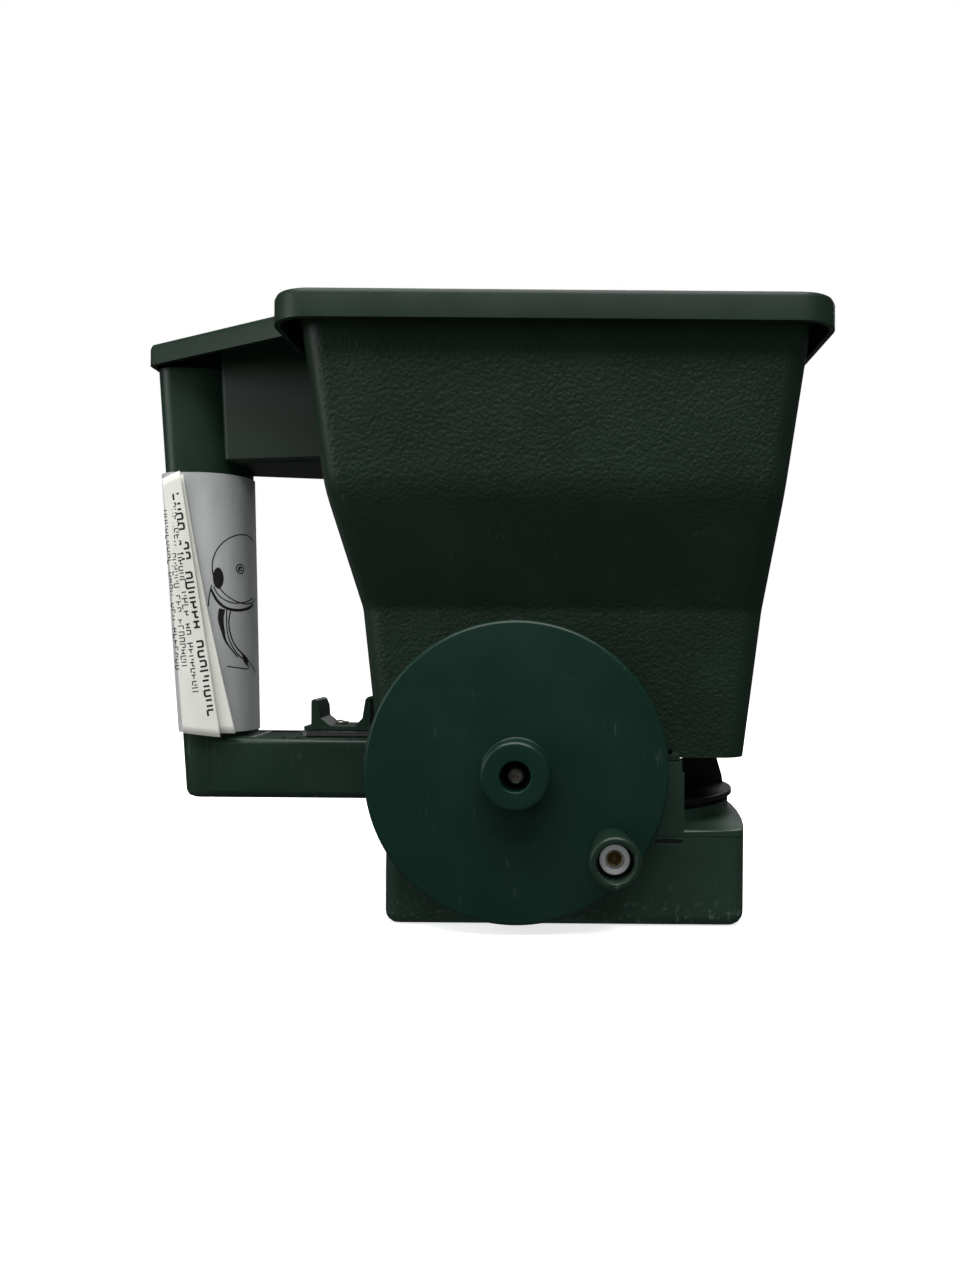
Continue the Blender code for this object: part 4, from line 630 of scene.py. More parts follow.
@dataclass
class Base:
    """The tub that the spreader stands on, and the deck and housing on it."""

    edge: float = 0.40 * MM
    catch_ends: Pair = (38.3 * MM, 48.6 * MM)
    catch_levels: Pair = (30.6 * MM, 32.7 * MM)
    catch_depth: float = 1.1 * MM

    def catch(self) -> bmesh.types.BMesh:
        """The shallow catch below the deck's corner post, pointed at both ends."""
        (rear, front), (low, high) = self.catch_ends, self.catch_levels
        middle, half = (low + high) / 2, (high - low) / 2
        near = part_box("base_tub")[0].y
        steps = 16
        arc = [pi * k / steps for k in range(2 * steps)]
        outline = [((rear + front) / 2 + (front - rear) / 2 * cos(a), middle + half * sin(a)) for a in arc]
        bm = bmesh.new()
        levels = (near - 1.0 * MM, near + self.catch_depth)
        rings = [[bm.verts.new((x, y, z)) for x, z in outline] for y in levels]
        for k in range(len(outline)):
            after = (k + 1) % len(outline)
            bm.faces.new((rings[0][k], rings[0][after], rings[1][after], rings[1][k]))
        bm.faces.new(rings[0])
        bm.faces.new(rings[1])
        bmesh.ops.recalc_face_normals(bm, faces=bm.faces)
        return bm

    def build(self, finishes: Palette) -> None:
        """Builds and mounts both mouldings."""
        # The base and the housing take the green that holds painted floor light.
        obj = as_object("base_body", soften(merged("base_tub"), self.edge), finishes.green)
        tool = as_object("catch_tool", self.catch(), finishes.green)
        boolean(obj, tool, "DIFFERENCE")
        obj.modifiers.new("even_shading", "WEIGHTED_NORMAL").keep_sharp = True
        settled(obj)
        bpy.data.objects.remove(tool)
        mount(obj, "frame", "moulded_green", "base_tub")
        softened_piece("housing_body", "deck_housing", finishes.green, "moulded_green", "frame", self.edge)


@dataclass
class Handle:
    """The grip and its arm, with the gate's scale on the arm's top edge."""

    edge: float = 0.45 * MM
    arm_top: float = 64.5 * MM
    mark_y: float = -16.4 * MM
    first_mark: float = -99.0 * MM
    pitch: float = 6.0 * MM
    figure: float = 3.0 * MM
    proud: float = 0.30 * MM

    def scale(self, finishes: Palette) -> None:
        """Raised figures beside the slider's travel, from closed to fully open."""
        shapes = []
        for number in range(1, 4):
            curve = bpy.data.curves.new(f"figure_{number}", "FONT")
            curve.body = str(number)
            curve.size = self.figure
            curve.extrude = self.proud / 2
            curve.align_x, curve.align_y = "CENTER", "CENTER"
            text = bpy.data.objects.new(f"figure_{number}", curve)
            bpy.context.scene.collection.objects.link(text)
            graph = bpy.context.evaluated_depsgraph_get()
            mesh = bpy.data.meshes.new_from_object(text.evaluated_get(graph))
            along = self.first_mark - self.pitch * (number - 1)
            mesh.transform(Matrix.Translation((along, self.mark_y, self.arm_top + self.proud / 2)))
            shapes.append(mesh)
            bpy.data.objects.remove(text)
        bm = bmesh.new()
        for mesh in shapes:
            bm.from_mesh(mesh)
        bmesh.ops.remove_doubles(bm, verts=bm.verts, dist=WELD)
        obj = as_object("scale_figures", bm, finishes.handle, 30)
        mount(obj, "frame", "moulded_green")

    def build(self, finishes: Palette) -> None:
        """Builds and mounts the handle and its scale."""
        softened_piece("handle_body", "handle", finishes.handle, "moulded_green", "frame", self.edge)
        self.scale(finishes)


@dataclass
class CrankWheel:
    """The hand wheel that drives the gears, with its hub, its washer and its turning knob."""

    centre: Pair = (-12.35 * MM, 58.45 * MM)
    face: float = 72.0 * MM
    back: float = 59.2 * MM
    radius: float = 54.3 * MM
    skirt: float = 2.4 * MM
    web: float = 2.6 * MM
    hub: float = 12.2 * MM
    hub_front: float = 82.0 * MM
    recess: float = 5.4 * MM
    recess_floor: float = 75.4 * MM
    bore: float = 2.1 * MM
    cup: Pair = (10.6 * MM, 59.9 * MM)
    socket: Pair = (6.9 * MM, 70.3 * MM)
    washer: Triple = (1.55 * MM, 4.6 * MM, 0.9 * MM)
    boss_radii: Pair = (1.8 * MM, 5.6 * MM)
    boss_ends: Pair = (63.0 * MM, 70.2 * MM)
    knob_throw: float = 43.15 * MM
    knob_turn: float = radians(-37.87)
    knob_stations: Triple = (72.5 * MM, 86.8 * MM, 95.6 * MM)  # its foot, the floor of its mouth and its tip

    @property
    def knob_centre(self) -> Pair:
        """The knob's axis at rest."""
        x, z = self.centre
        return x + self.knob_throw * cos(self.knob_turn), z + self.knob_throw * sin(self.knob_turn)

    def wheel(self, finishes: Palette) -> None:
        """The wheel: a dished disc with a recessed hub, and a boss behind the knob."""
        profile = rounded(
            [
                (self.bore, self.recess_floor, 0),
                (self.recess, self.recess_floor, 0.4 * MM),
                (self.recess, self.hub_front, 0.35 * MM),
                (self.hub, self.hub_front, 1.5 * MM),
                (self.hub, self.face, 0.7 * MM),
                (self.radius, self.face, 1.5 * MM),
                (self.radius, self.back, 0.5 * MM),
                (self.radius - self.skirt, self.back, 0.5 * MM),
                (self.radius - self.skirt, self.face - self.web, 1.2 * MM),
                (self.cup[0], self.face - self.web, 0.6 * MM),
                (*self.cup, 0.3 * MM),
                (self.socket[0], self.cup[1], 0.3 * MM),
                (*self.socket, 0),
                (self.bore, self.socket[1], 0),
            ],
            6,
        )
        obj = as_object("wheel_body", lathe(profile, self.centre, 168), finishes.wheel, 30)
        inner, outer = self.boss_radii
        back, front = self.boss_ends
        corners = [(inner, back, 0.2 * MM), (outer, back, 0.5 * MM), (outer, front, 0), (inner, front, 0)]
        boss = lathe(rounded(corners, 4), self.knob_centre, 48)
        tool = as_object("knob_boss_tool", boss, finishes.wheel)
        boolean(obj, tool, "UNION")
        settled(obj)
        bpy.data.objects.remove(tool)
        mount(obj, "crank", "wheel_green", "crank_wheel")

    def hub_washer(self, finishes: Palette) -> None:
        """The steel washer under the crank screw."""
        inner, outer, thick = self.washer
        low, top = self.recess_floor + 0.3 * MM, self.recess_floor + thick
        profile = rounded([(inner, low, 0), (outer, low, 0), (outer, top, 0.2 * MM), (inner, top, 0.15 * MM)], 3)
        # The washer is zinc-plated steel; its dark finish is painted shade from the hub's recess.
        obj = as_object("hub_washer", lathe(profile, self.centre, 64), finishes.dark)
        mount(obj, "crank", "zinc_steel", "crank_washer")

    def knob(self, finishes: Palette) -> None:
        """The flared knob, hollow at its mouth, and the nylon bush that it turns on."""
        foot, mouth, tip = self.knob_stations
        bore, stem, hollow, flare = 4.0 * MM, 7.4 * MM, 6.4 * MM, 9.0 * MM
        profile = rounded(
            [
                (bore, foot, 0.2 * MM),
                (stem, foot, 0.6 * MM),
                (stem, mouth - 0.1 * MM, 4.0 * MM),
                (flare - 0.3 * MM, mouth + 1.8 * MM, 1.5 * MM),
                (flare, tip, 1.3 * MM),
                (hollow, tip, 0.6 * MM),
                (hollow, mouth, 0.3 * MM),
                (bore, mouth, 0.15 * MM),
            ],
            6,
        )
        obj = as_object("knob_body", lathe(profile, self.knob_centre, 112), finishes.knob, 30)
        mount(obj, "knob", "wheel_green", "crank_knob")
        low, flange = foot - 0.2 * MM, mouth + 0.5 * MM
        top, floor = flange + 1.6 * MM, flange - 1.0 * MM
        hole, tube, rim, sink = 1.55 * MM, 3.4 * MM, 5.2 * MM, 3.3 * MM
        profile = rounded(
            [
                (hole, low, 0),
                (tube, low, 0.2 * MM),
                (tube, flange, 0),
                (rim, flange, 0.25 * MM),
                (rim, top, 0.35 * MM),
                (sink, top, 0.3 * MM),
                (sink, floor, 0),
                (hole, floor, 0),
            ],
            4,
        )
        obj = as_object("knob_sleeve", lathe(profile, self.knob_centre, 96), finishes.nylon)
        mount(obj, "crank", "nylon", "knob_bush")

    def build(self, finishes: Palette) -> None:
        """Builds and mounts the wheel, the washer, the knob and its bush."""
        self.wheel(finishes)
        self.hub_washer(finishes)
        self.knob(finishes)


@dataclass
class Spinner:
    """The impeller under the hopper, and the agitator on the same shaft."""

    def build(self, finishes: Palette) -> None:
        """Builds and mounts both."""
        softened_piece("impeller_body", "impeller", finishes.black, "black_plastic", "spinner", 0.28 * MM)
        softened_piece("agitator_body", "agitator", finishes.black, "black_plastic", "spinner", 0.3 * MM)


@dataclass
class Gate:
    """The slider that the thumb moves, on the gate's steel plate."""

    def build(self, finishes: Palette) -> None:
        """Builds and mounts the slider."""
        softened_piece("slider_body", "flow_slider", finishes.handle, "moulded_green", "gate", 0.35 * MM)


@dataclass
class Drive:
    """The gears, shafts and bushes, whose solids are right as they are and only get their finish."""

    steel: Sequence[str] = ("crank_axle", "countershaft", "impeller_shaft", "gate_plate")
    bronze: Sequence[str] = ("outer_bush", "inner_bush", "deck_bush", "hopper_bush")
    acetal: Sequence[str] = ("crank_gear", "drive_pinion", "drive_bevel", "impeller_bevel")
    nylon: Sequence[str] = ("impeller_collar",)
    black: Sequence[str] = ("gate_guide",)

    def build(self, finishes: Palette) -> None:
        """Gives each solid its finish."""
        for names, finish in (
            (self.steel, finishes.steel), (self.bronze, finishes.bronze), (self.acetal, finishes.acetal),
            (self.nylon, finishes.nylon), (self.black, finishes.black),
        ):
            for name in names:
                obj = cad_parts[name]
                obj.data.materials.clear()
                obj.data.materials.append(finish)
                LOG.info("%s: %s", name, finish.name)


# ---------------------------------------------------------------- screws


@dataclass(frozen=True)
class ScrewSet:
    """Screws of one size that turn with one body."""

    name: str
    nodes: tuple[str, ...]
    body: str
    slot: str
    axis: Triple  # from the point to the head
    head: float = 2.9 * MM
    rise: float = 2.0 * MM
    shank: float = 1.5 * MM

    def seats(self) -> tuple[list[Vector], float]:
        """The middle of the head's underside of each screw, and the shank's length, from the frame's boxes."""
        axis = Vector(self.axis)
        points, length = [], 0.0
        for node in self.nodes:
            low, high = (Vector(corner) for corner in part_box(node))
            middle = (low + high) / 2
            reach = abs((high - low).dot(axis))
            length = reach - self.rise
            points.append(middle + axis * (reach / 2 - self.rise))
        return points, length


def pan_head(spec: ScrewSet, length: float) -> bmesh.types.BMesh:
    """One screw pointing to -Z: a domed head, a plain neck and a ringed shank.

    Args:
        spec: the set that it belongs to.
        length: how far the shank reaches below the head.

    Returns:
        The screw, with the head's underside at the origin.
    """
    dome = [(spec.head * cos(a), spec.rise * (0.42 + 0.58 * sin(a))) for a in (pi / 2 * k / 7 for k in range(7))]
    profile = [(spec.shank, 0.0), (spec.head - 0.15 * MM, 0.0), (spec.head, 0.15 * MM), *dome]
    pitch, depth = 1.1 * MM, 0.22 * MM
    turns = max(1, int((length - 1.5 * MM) / pitch))
    thread = []
    for k in range(turns):
        low = -length + 1.0 * MM + pitch * k
        thread += [(spec.shank - depth, low), (spec.shank, low + pitch / 2)]
    profile = [(0.4 * MM, -length), *thread, *profile]
    bm = bmesh.new()
    count = 32
    round_axis = [2 * pi * k / count for k in range(count)]
    rings = [[bm.verts.new((r * cos(t), r * sin(t), z)) for t in round_axis] for r, z in profile]
    for low_ring, high_ring in zip(rings, rings[1:]):
        for k in range(count):
            bm.faces.new((low_ring[k], low_ring[(k + 1) % count], high_ring[(k + 1) % count], high_ring[k]))
    for ring, z in ((rings[0], -length), (rings[-1], spec.rise)):
        pole = bm.verts.new((0, 0, z))
        for k in range(count):
            bm.faces.new((ring[k], ring[(k + 1) % count], pole))
    bmesh.ops.recalc_face_normals(bm, faces=bm.faces)
    return bm


def screw_tree() -> bpy.types.NodeTree:
    """The tree that cuts the cross in a screw's head and sets the screw at every point.

    Returns:
        A node group that takes the points, one screw, its recess and its finish.
    """
    tree = bpy.data.node_groups.new("cross_head_screws", "GeometryNodeTree")
    tree.interface.new_socket("Points", in_out="INPUT", socket_type="NodeSocketGeometry")
    for name, kind in (
        ("Screw", "NodeSocketObject"), ("Head Top", "NodeSocketFloat"), ("Recess Span", "NodeSocketFloat"),
        ("Recess Width", "NodeSocketFloat"), ("Recess Depth", "NodeSocketFloat"), ("Finish", "NodeSocketMaterial"),
    ):
        tree.interface.new_socket(name, in_out="INPUT", socket_type=kind)
    tree.interface.new_socket("Screws", in_out="OUTPUT", socket_type="NodeSocketGeometry")
    given = tree.nodes.new("NodeGroupInput").outputs
    screw = add(tree, "GeometryNodeObjectInfo", {"Object": given["Screw"]}).outputs["Geometry"]
    depth = maths(tree, "MULTIPLY", given["Recess Depth"], 2.0)
    slots = []
    for across, along in (("Recess Span", "Recess Width"), ("Recess Width", "Recess Span")):
        size = add(tree, "ShaderNodeCombineXYZ", {0: given[across], 1: given[along], 2: depth}).outputs[0]
        slots.append(add(tree, "GeometryNodeMeshCube", {"Size": size}).outputs["Mesh"])
    both = add(tree, "GeometryNodeMeshBoolean", operation="UNION", solver="EXACT")
    for mesh in slots:
        tree.links.new(mesh, both.inputs["Mesh 2"])
    top = add(tree, "ShaderNodeCombineXYZ", {2: given["Head Top"]}).outputs[0]
    cross = add(tree, "GeometryNodeTransform", {"Geometry": both.outputs["Mesh"], "Translation": top}).outputs[0]
    cut = add(tree, "GeometryNodeMeshBoolean", {"Mesh 1": screw}, operation="DIFFERENCE", solver="EXACT")
    tree.links.new(cross, cut.inputs["Mesh 2"])
    axis = add(tree, "GeometryNodeInputNamedAttribute", {"Name": "axis"}, data_type="FLOAT_VECTOR").outputs[0]
    turn = add(tree, "FunctionNodeAlignRotationToVector", {"Vector": axis}, axis="Z").outputs[0]
    laid = {"Points": given["Points"], "Instance": cut.outputs["Mesh"], "Rotation": turn}
    placed = add(tree, "GeometryNodeInstanceOnPoints", laid)
    real = add(tree, "GeometryNodeRealizeInstances", {0: placed.outputs[0]}).outputs[0]
    done = add(tree, "GeometryNodeSetMaterial", {"Geometry": real, "Material": given["Finish"]}).outputs[0]
    add(tree, "NodeGroupOutput", {0: done})
    return tree


@dataclass
class Screws:
    """Every screw on the spreader."""

    recess: Triple = (3.4 * MM, 0.95 * MM, 1.3 * MM)

    def sets(self) -> list[tuple[ScrewSet, str]]:
        """Each set of screws, with its finish's name in the palette."""
        up, down, near, front = (0.0, 0.0, 1.0), (0.0, 0.0, -1.0), (0.0, -1.0, 0.0), (1.0, 0.0, 0.0)
        floor, ears = ("hopper_screw_1", "hopper_screw_2"), ("hopper_screw_3", "hopper_screw_4")
        arm, guide = ("arm_screw_1", "arm_screw_2"), ("guide_screw_1", "guide_screw_2")
        feet = tuple(f"base_screw_{k}" for k in range(1, 5))
        return [
            (ScrewSet("hub_screw", ("crank_screw",), "crank", "zinc_steel", near, 3.0 * MM), "zinc"),
            (ScrewSet("knob_cross_screw", ("knob_screw",), "crank", "yellow_steel", near, 2.6 * MM), "yellow"),
            (ScrewSet("hopper_floor_screws", floor, "frame", "zinc_steel", up), "zinc"),
            # Zinc screws in the darkened zinc finish, which is painted shade.
            (ScrewSet("hopper_ear_screws", ears, "frame", "zinc_steel", up), "dark"),
            (ScrewSet("foot_screws", feet, "frame", "zinc_steel", down), "zinc"),
            (ScrewSet("arm_screws", arm, "frame", "zinc_steel", front), "zinc"),
            (ScrewSet("guide_screws", guide, "frame", "zinc_steel", down, rise=1.6 * MM), "zinc"),
            (ScrewSet("grip_screw", ("handle_screw",), "frame", "zinc_steel", up), "zinc"),
            (ScrewSet("thumb_slider_screw", ("slider_screw",), "gate", "zinc_steel", up, rise=1.5 * MM), "zinc"),
        ]

    def build(self, finishes: Palette) -> None:
        """Builds and mounts each set."""
        tree = screw_tree()
        keys = {item.name: item.identifier for item in tree.interface.items_tree if item.in_out == "INPUT"}
        for spec, finish in self.sets():
            points, length = spec.seats()
            material = getattr(finishes, finish)
            one = as_object(f"{spec.name}_one", pan_head(spec, length), material, 40)
            cloud = bpy.data.meshes.new(spec.name)
            cloud.from_pydata([tuple(p) for p in points], [], [])
            axes = cloud.attributes.new("axis", "FLOAT_VECTOR", "POINT")
            for item in axes.data:
                item.vector = spec.axis
            obj = bpy.data.objects.new(spec.name, cloud)
            bpy.context.scene.collection.objects.link(obj)
            setter = obj.modifiers.new("screws", "NODES")
            setter.node_group = tree
            span, width, depth = self.recess
            for name, value in (
                ("Screw", one), ("Head Top", spec.rise), ("Recess Span", span * spec.head / ScrewSet.head),
                ("Recess Width", width), ("Recess Depth", depth), ("Finish", material),
            ):
                setter[keys[name]] = value
            settled(obj)
            bpy.data.objects.remove(one)
            mount(obj, spec.body, spec.slot, *spec.nodes)


# ---------------------------------------------------------------- leaflet


Surface = Callable[[float, float, float], Vector]


def stroke(bm: bmesh.types.BMesh, line: Sequence[Triple], surface: Surface, thick: float = 0.03 * MM) -> None:
    """Lays one printed line on a sheet, as a thin closed band.

    Args:
        bm: the shape that it is added to.
        line: place across, place up and the line's width there, for each point.
        surface: gives the point in space for a place on the sheet and a lift off it.
        thick: how far the ink stands up.
    """
    rings = []
    columns = 2 + int(max(width for _, _, width in line) / (0.5 * MM))
    spread = [1 - 2 * k / (columns - 1) for k in range(columns)]
    for k, (across, up, width) in enumerate(line):
        before, after = line[max(k - 1, 0)], line[min(k + 1, len(line) - 1)]
        way = Vector((after[0] - before[0], after[1] - before[1])).normalized()
        side = Vector((-way.y, way.x)) * width / 2
        corners = [(share, thick) for share in spread] + [(share, -thick / 3) for share in reversed(spread)]
        rings.append([bm.verts.new(surface(across + side.x * s, up + side.y * s, lift)) for s, lift in corners])
    count = len(rings[0])
    for first, second in zip(rings, rings[1:]):
        for k in range(count):
            bm.faces.new((first[k], first[(k + 1) % count], second[(k + 1) % count], second[k]))
    for ring in (rings[0], rings[-1]):
        for k in range(columns - 1):
            bm.faces.new((ring[k], ring[k + 1], ring[-k - 2], ring[-k - 1]))


def smooth_line(points: Sequence[Triple], steps: int = 6) -> list[Triple]:
    """A Catmull-Rom curve through points of place and width."""
    padded = [points[0], *points, points[-1]]
    line: list[Triple] = []
    for a, b, c, d in zip(padded, padded[1:], padded[2:], padded[3:]):
        for step in range(steps):
            t = step / steps
            line.append(
                tuple(
                    0.5 * (2 * q + (r - p) * t + (2 * p - 5 * q + 4 * r - s) * t**2 + (3 * q - p - 3 * r + s) * t**3)
                    for p, q, r, s in zip(a, b, c, d)
                )
            )
    return [*line, points[-1]]


@dataclass
class Leaflet:
    """The instruction leaflet round the grip: a wrapped sheet with a line drawing, and a flap of printed lines."""

    low: float = 66.6 * MM
    high: float = 173.0 * MM
    air: float = 1.6 * MM
    thick: float = 0.26 * MM
    back: float = 2.0 * MM
    grip_half: float = 18.5 * MM
    palm: float = 7.0 * MM
    fingers: float = 15.8 * MM
    grip_low: float = 39.6 * MM
    grip_high: float = 216.5 * MM
    rear: Pair = (-151.9 * MM, -164.9 * MM)
    front: Pair = (-127.1 * MM, -132.2 * MM)
    hub: Pair = (17.7 * MM, 134.2 * MM)
    flap_out: float = 21.5 * MM  # the fold's distance from the mid-plane
    flap_lean: float = 1.3 * MM
    flap_bow: float = 0.5 * MM
    leaf: float = 0.18 * MM
    fold: float = 0.35 * MM
    ink_lift: float = 0.12 * MM
    seed: int = 4

    def grip_ends(self, z: float) -> Pair:
        """The grip's rear and front X at height z."""
        share = (z - self.grip_low) / (self.grip_high - self.grip_low)
        return tuple(low + (high - low) * share for low, high in (self.rear, self.front))

    def outline(self, z: float, out: float) -> list[Pair]:
        """The wrapped sheet's plan, from its edge behind the palm to its edge behind the fingers."""
        rear, front = self.grip_ends(z)
        near = -(self.grip_half + out)
        corners = [
            (rear - out, self.back, 0),
            (rear - out, near, self.palm + out),
            (front + out, near, self.fingers + out),
            (front + out, self.back, 0),
        ]
        return rounded(corners, 14)

    def on_sheet(self, along: float, z: float, lift: float) -> Vector:
        """A point on the sheet, along it from where it starts to turn round the fingers."""
        _, front = self.grip_ends(z)
        radius = self.fingers + self.air
        turn = max(0.0, along / radius)
        reach = radius + lift
        x = front + self.air - radius + (reach * sin(turn) if along > 0 else along)
        return Vector((x, -(self.grip_half + self.air - radius) - reach * cos(turn), z))

    def top(self, x: float) -> float:
        """The sheet's upper edge, a little lower behind the palm."""
        return self.high - 0.09 * max(0.0, -0.150 - x)

    def sheet(self, finishes: Palette) -> None:
        """The wrapped sheet."""
        bm = bmesh.new()
        rows = []
        steps = 20
        for step in range(steps + 1):
            faces = []
            for out in (self.air, self.air - self.thick):
                points = []
                for k, (x, _) in enumerate(self.outline(self.low, out)):
                    z = self.low + (self.top(x) - self.low) * step / steps
                    points.append(bm.verts.new((*self.outline(z, out)[k], z)))
                faces.append(points)
            rows.append(faces[0] + list(reversed(faces[1])))
        for low, high in zip(rows, rows[1:]):
            for k in range(len(low)):
                following = (k + 1) % len(low)
                bm.faces.new((low[k], low[following], high[following], high[k]))
        half = len(rows[0]) // 2
        for row in (rows[0], rows[-1]):
            for k in range(half - 1):
                bm.faces.new((row[k], row[k + 1], row[-k - 2], row[-k - 1]))
        bmesh.ops.recalc_face_normals(bm, faces=bm.faces)
        obj = as_object("leaflet_sheet", bm, finishes.sheet)
        mount(obj, "frame", "paper", "instruction_leaflet")

    def drawing(self, finishes: Palette) -> None:
        """A plain line drawing of a wheel, its knob and a handle below it."""
        line, heavy = 0.48 * MM, 1.15 * MM
        hub_along, hub_up = self.hub
        bm = bmesh.new()

        def draw(points: Iterable[Triple]) -> None:
            """Lays a smooth line given in millimetres from the drawing's hub."""
            placed = [(hub_along + x * MM, hub_up + z * MM, width) for x, z, width in points]
            stroke(bm, smooth_line(placed), self.on_sheet)

        draw([(2.7 + 14.5 * cos(radians(a)), 14.5 * sin(radians(a)), line) for a in range(58, 322, 12)])
        for radius, width in ((1.9, line), (0.8, line)):
            draw([(radius * cos(radians(a)), radius * sin(radians(a)), width) for a in range(0, 361, 30)])
        draw([(-1.2, -1.0, line), (0.6, 1.1, line)])
        knob = [
            (-10.0 + 0.5 * sin(radians(a)), -4.3 - 4.3 * cos(radians(a)), max(0.2, 4.2 * sin(radians(a))) * MM)
            for a in range(2, 180, 12)
        ]
        draw(knob)
        rim = ((-12.5, -8.7), (-10.3, -13.3), (-6.8, -16.4), (-1.5, -17.3), (4.5, -16.2), (8.5, -14.4))
        draw([(x, z, heavy * share) for (x, z), share in zip(rim, (0.7, 1.0, 1.0, 1.0, 1.0, 0.8))])
        for even in (
            ((-11.5, -7.7), (-9.1, -11.8), (-4.0, -14.3), (3.1, -13.6), (8.3, -11.6)),
            ((-12.2, -7.2), (-13.2, -12.0), (-13.6, -15.9)),
        ):
            draw([(x, z, line) for x, z in even])
        for tapered in (
            ((-8.3, -16.9, 2.5), (-8.9, -21.0, 2.3), (-8.1, -26.1, 1.5), (-6.8, -30.7, 0.8), (-2.1, -36.9, 0.5)),
            ((-4.8, -17.4, 0.5), (-5.7, -22.0, 0.6), (-5.1, -27.2, 0.6), (-2.9, -32.3, 0.6), (2.9, -37.9, 1.0)),
            ((-6.4, -17.0, 0.48), (-6.6, -24.0, 0.48), (-5.4, -30.2, 0.48), (-2.3, -35.4, 0.6), (1.4, -38.0, 0.48)),
            ((0.4, -35.6, 0.9), (1.9, -38.0, 2.4), (2.9, -40.6, 0.5)),
        ):
            draw([(x, z, width * MM) for x, z, width in tapered])
        for even in (
            ((-6.8, -40.5), (-2.0, -41.2), (2.9, -41.7), (4.0, -39.8)),
            ((2.9, -37.9), (7.7, -42.0), (9.3, -43.6)),
        ):
            draw([(x, z, line) for x, z in even])
        bmesh.ops.recalc_face_normals(bm, faces=bm.faces)
        mount(as_object("leaflet_drawing", bm, finishes.ink), "frame", "paper")

    def on_flap(self, across: float, z: float, lift: float) -> Vector:
        """A point on the flap's printed side: it leans off the grip towards its free edge."""
        share = (z - self.low) / (self.high - self.low)
        left, right = self.flap_edges(share)
        u = (across - left) / (right - left)
        bow = self.flap_bow * sin(pi * min(1.0, max(0.0, u)))
        return Vector((across, -(self.flap_out + self.flap_lean * u + bow) - lift, z))

    @staticmethod
    def flap_edges(share: float) -> Pair:
        """The X of the flap's fold and of its free edge, at a share of its height. Both lean back with the grip."""
        return (-150.0 - 9.2 * share) * MM, (-134.6 - 17.4 * share) * MM

    def flap(self, finishes: Palette) -> None:
        """The folded flap: a front leaf, a tight fold behind the palm and a rear leaf that is a little wider."""
        bm = bmesh.new()
        rows = []
        steps, columns = 32, 30
        for step in range(steps + 1):
            share = step / steps
            left, right = self.flap_edges(share)
            wider = right + (0.8 + 4.8 * (1 - share) ** 2) * MM
            level_z = self.low + (self.high - self.low) * share
            row = []
            for k in range(columns + 1):
                u = k / columns
                x = right + (left - right) * u
                z = level_z - 1.5 * MM * (1 - u) * (1 - share) - 3.0 * MM * u * share
                row.append((x, self.on_flap(x, level_z, 0.0).y, z))
            _, fold_y, fold_z = row[-1]
            for k in range(1, 6):
                turn = pi * k / 6
                row.append((left - self.fold * sin(turn), fold_y + self.fold * (1 - cos(turn)), fold_z))
            for k in range(columns + 1):
                u = k / columns
                x = left + (wider - left) * u
                z = fold_z + (level_z - 1.2 * MM * share - fold_z) * u
                row.append((x, fold_y + 2 * self.fold - 0.5 * MM * u, z))
            rows.append([bm.verts.new(p) for p in row])
        for low, high in zip(rows, rows[1:]):
            for k in range(len(low) - 1):
                bm.faces.new((low[k], low[k + 1], high[k + 1], high[k]))
        bmesh.ops.recalc_face_normals(bm, faces=bm.faces)
        obj = as_object("leaflet_flap", bm, finishes.flap, 50)
        wall = obj.modifiers.new("paper", "SOLIDIFY")
        wall.thickness, wall.offset = self.leaf, 0.0
        settled(obj)
        mount(obj, "frame", "paper")

    def lines(self, finishes: Palette) -> None:
        """Four lines of plain marks that stand for print and spell nothing."""
        chance = random.Random(self.seed)
        bm = bmesh.new()
        for start, end, size, weight, words in (
            ((-153.6, 164.4), (-138.2, 73.0), 3.4, 0.80, (4, 2, 6, 8)),
            ((-154.6, 160.5), (-144.8, 83.0), 2.5, 0.46, (7, 5, 4, 2, 8)),
            ((-156.6, 159.5), (-149.6, 93.5), 2.3, 0.42, (7, 6, 3, 8)),
            ((-158.2, 157.5), (-152.6, 92.0), 1.5, 0.38, (9, 4, 3, 7)),
        ):
            begin, finish = Vector(start) * MM, Vector(end) * MM
            way = (finish - begin).normalized()
            side = Vector((way.y, -way.x))
            cell = (finish - begin).length / (sum(words) + len(words) - 1)
            place = 0
            for word in words:
                for _ in range(word):
                    middle = begin + way * (cell * (place + 0.5))
                    width, height = cell * 0.29, size * MM * (0.36 if chance.random() < 0.6 else 0.5)
                    marks = [(-width, -height, -width, height)]
                    kind = chance.randrange(4)
                    if kind != 0:
                        marks.append((width, -height, width, height * chance.choice((0.2, 1.0))))
                    if kind != 1:
                        bar = height * chance.choice((-1.0, 0.0, 1.0))
                        marks.append((-width, bar, width, bar))
                    for along_a, up_a, along_b, up_b in marks:
                        a = middle + way * along_a + side * up_a
                        b = middle + way * along_b + side * up_b
                        stroke(bm, [(a.x, a.y, weight * MM), (b.x, b.y, weight * MM)], self.on_flap_ink)
                    place += 1
                place += 1
        bmesh.ops.recalc_face_normals(bm, faces=bm.faces)
        mount(as_object("leaflet_lines", bm, finishes.ink), "frame", "paper")

    def on_flap_ink(self, across: float, z: float, lift: float) -> Vector:
        """The same as on_flap, above half the paper's thickness."""
        return self.on_flap(across, z, lift + self.ink_lift)

    def build(self, finishes: Palette) -> None:
        """Builds and mounts the leaflet's pieces."""
        self.sheet(finishes)
        self.drawing(finishes)
        self.flap(finishes)
        self.lines(finishes)


# ---------------------------------------------------------------- studio


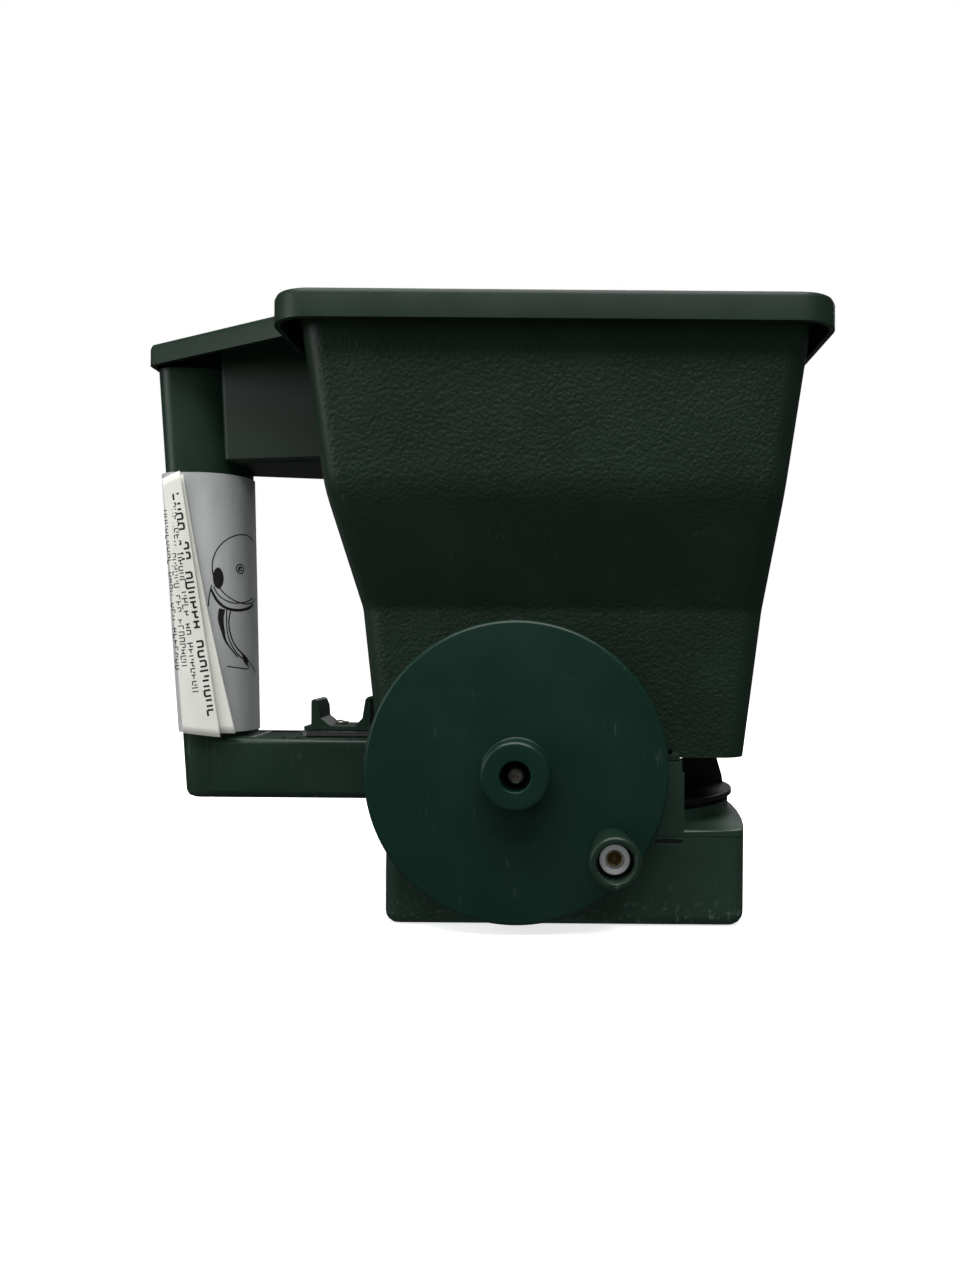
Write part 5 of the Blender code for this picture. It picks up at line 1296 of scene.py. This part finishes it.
@dataclass
class Studio:
    """A pale floor, soft lights and the camera."""

    camera_place: Triple = (2.75 * MM, -408.0 * MM, 105.6 * MM)
    lens: float = 26.72
    shift: float = -0.0625
    roll: float = radians(0.45)
    backdrop: float = 1.0
    ambient: float = 0.34
    reflected: float = 0.045

    def camera(self) -> None:
        """A level camera in front of the crank wheel."""
        data = bpy.data.cameras.new("camera")
        data.lens, data.sensor_width, data.shift_x = self.lens, 36.0, self.shift
        data.clip_start, data.clip_end = 0.01, 50.0
        obj = bpy.data.objects.new("camera", data)
        turn = Matrix.Rotation(pi / 2, 4, "X") @ Matrix.Rotation(self.roll, 4, "Z")
        obj.matrix_world = Matrix.Translation(self.camera_place) @ turn
        bpy.context.scene.collection.objects.link(obj)
        bpy.context.scene.camera = obj

    def light(self, name: str, place: Triple, aim: Triple, size: Pair, power: float) -> None:
        """One soft box."""
        data = bpy.data.lights.new(name, "AREA")
        data.shape = "RECTANGLE"
        data.size, data.size_y = size
        data.energy = power
        obj = bpy.data.objects.new(name, data)
        obj.location = place
        obj.rotation_euler = (Vector(aim) - Vector(place)).to_track_quat("-Z", "Y").to_euler()
        bpy.context.scene.collection.objects.link(obj)

    def floor(self) -> None:
        """A wide pale floor that takes a soft shadow and throws little light back."""
        made, tree, shader, where = new_material("pale_studio_floor")
        grey = blend(tree, noise(tree, where, 0.4, 2.0), linear("f6f6f6"), linear("fbfbfb"))
        tree.links.new(grey, shader.inputs["Base Color"])
        shader.inputs["Roughness"].default_value = 0.9
        shader.inputs["Specular IOR Level"].default_value = 0.0
        shader.inputs["Emission Color"].default_value = WHITE
        shader.inputs["Emission Strength"].default_value = 0.72
        bm = bmesh.new()
        bmesh.ops.create_grid(bm, x_segments=2, y_segments=2, size=20.0)
        obj = as_object("studio_floor", bm, made)
        obj.data.transform(Matrix.Translation((0, 0, -0.05 * MM)))
        obj.visible_diffuse = False
        obj.visible_glossy = False

    def world(self) -> None:
        """White to look at, a dim even light on the object, and almost nothing in its gloss."""
        world = bpy.data.worlds.new("studio")
        world.use_nodes = True
        bpy.context.scene.world = world
        tree = world.node_tree
        tree.nodes.clear()
        seen, lit, dim = (
            add(tree, "ShaderNodeBackground", {"Color": WHITE, "Strength": strength}).outputs[0]
            for strength in (self.backdrop, self.ambient, self.reflected)
        )
        ray = add(tree, "ShaderNodeLightPath").outputs
        lighting = add(tree, "ShaderNodeMixShader", {0: ray["Is Glossy Ray"], 1: lit, 2: dim}).outputs[0]
        both = add(tree, "ShaderNodeMixShader", {0: ray["Is Camera Ray"], 1: lighting, 2: seen}).outputs[0]
        add(tree, "ShaderNodeOutputWorld", {0: both})

    def build(self) -> None:
        """Sets up the whole studio."""
        view = bpy.context.scene.view_settings
        view.view_transform, view.look = "Standard", "None"
        self.camera()
        self.floor()
        self.world()
        self.light("overhead", (-0.05, -0.38, 0.92), (0.0, -0.03, 0.12), (1.0, 0.7), 13.0)
        self.light("left", (-1.05, -0.55, 0.40), (-0.05, 0.0, 0.12), (0.5, 0.6), 3.0)
        self.light("back", (0.25, 0.90, 0.80), (0.0, 0.0, 0.1), (1.0, 0.5), 6.0)


def main() -> None:
    """Builds every sub-assembly in order."""
    logging.basicConfig(level=logging.INFO, format="%(name)s: %(message)s")
    finishes = make_palette()
    for assembly in (Hopper(), Base(), Handle(), CrankWheel(), Spinner(), Gate(), Drive(), Screws(), Leaflet()):
        assembly.build(finishes)
        LOG.info("%s is built", type(assembly).__name__)
    Studio().build()


if __name__ == "__main__":
    main()
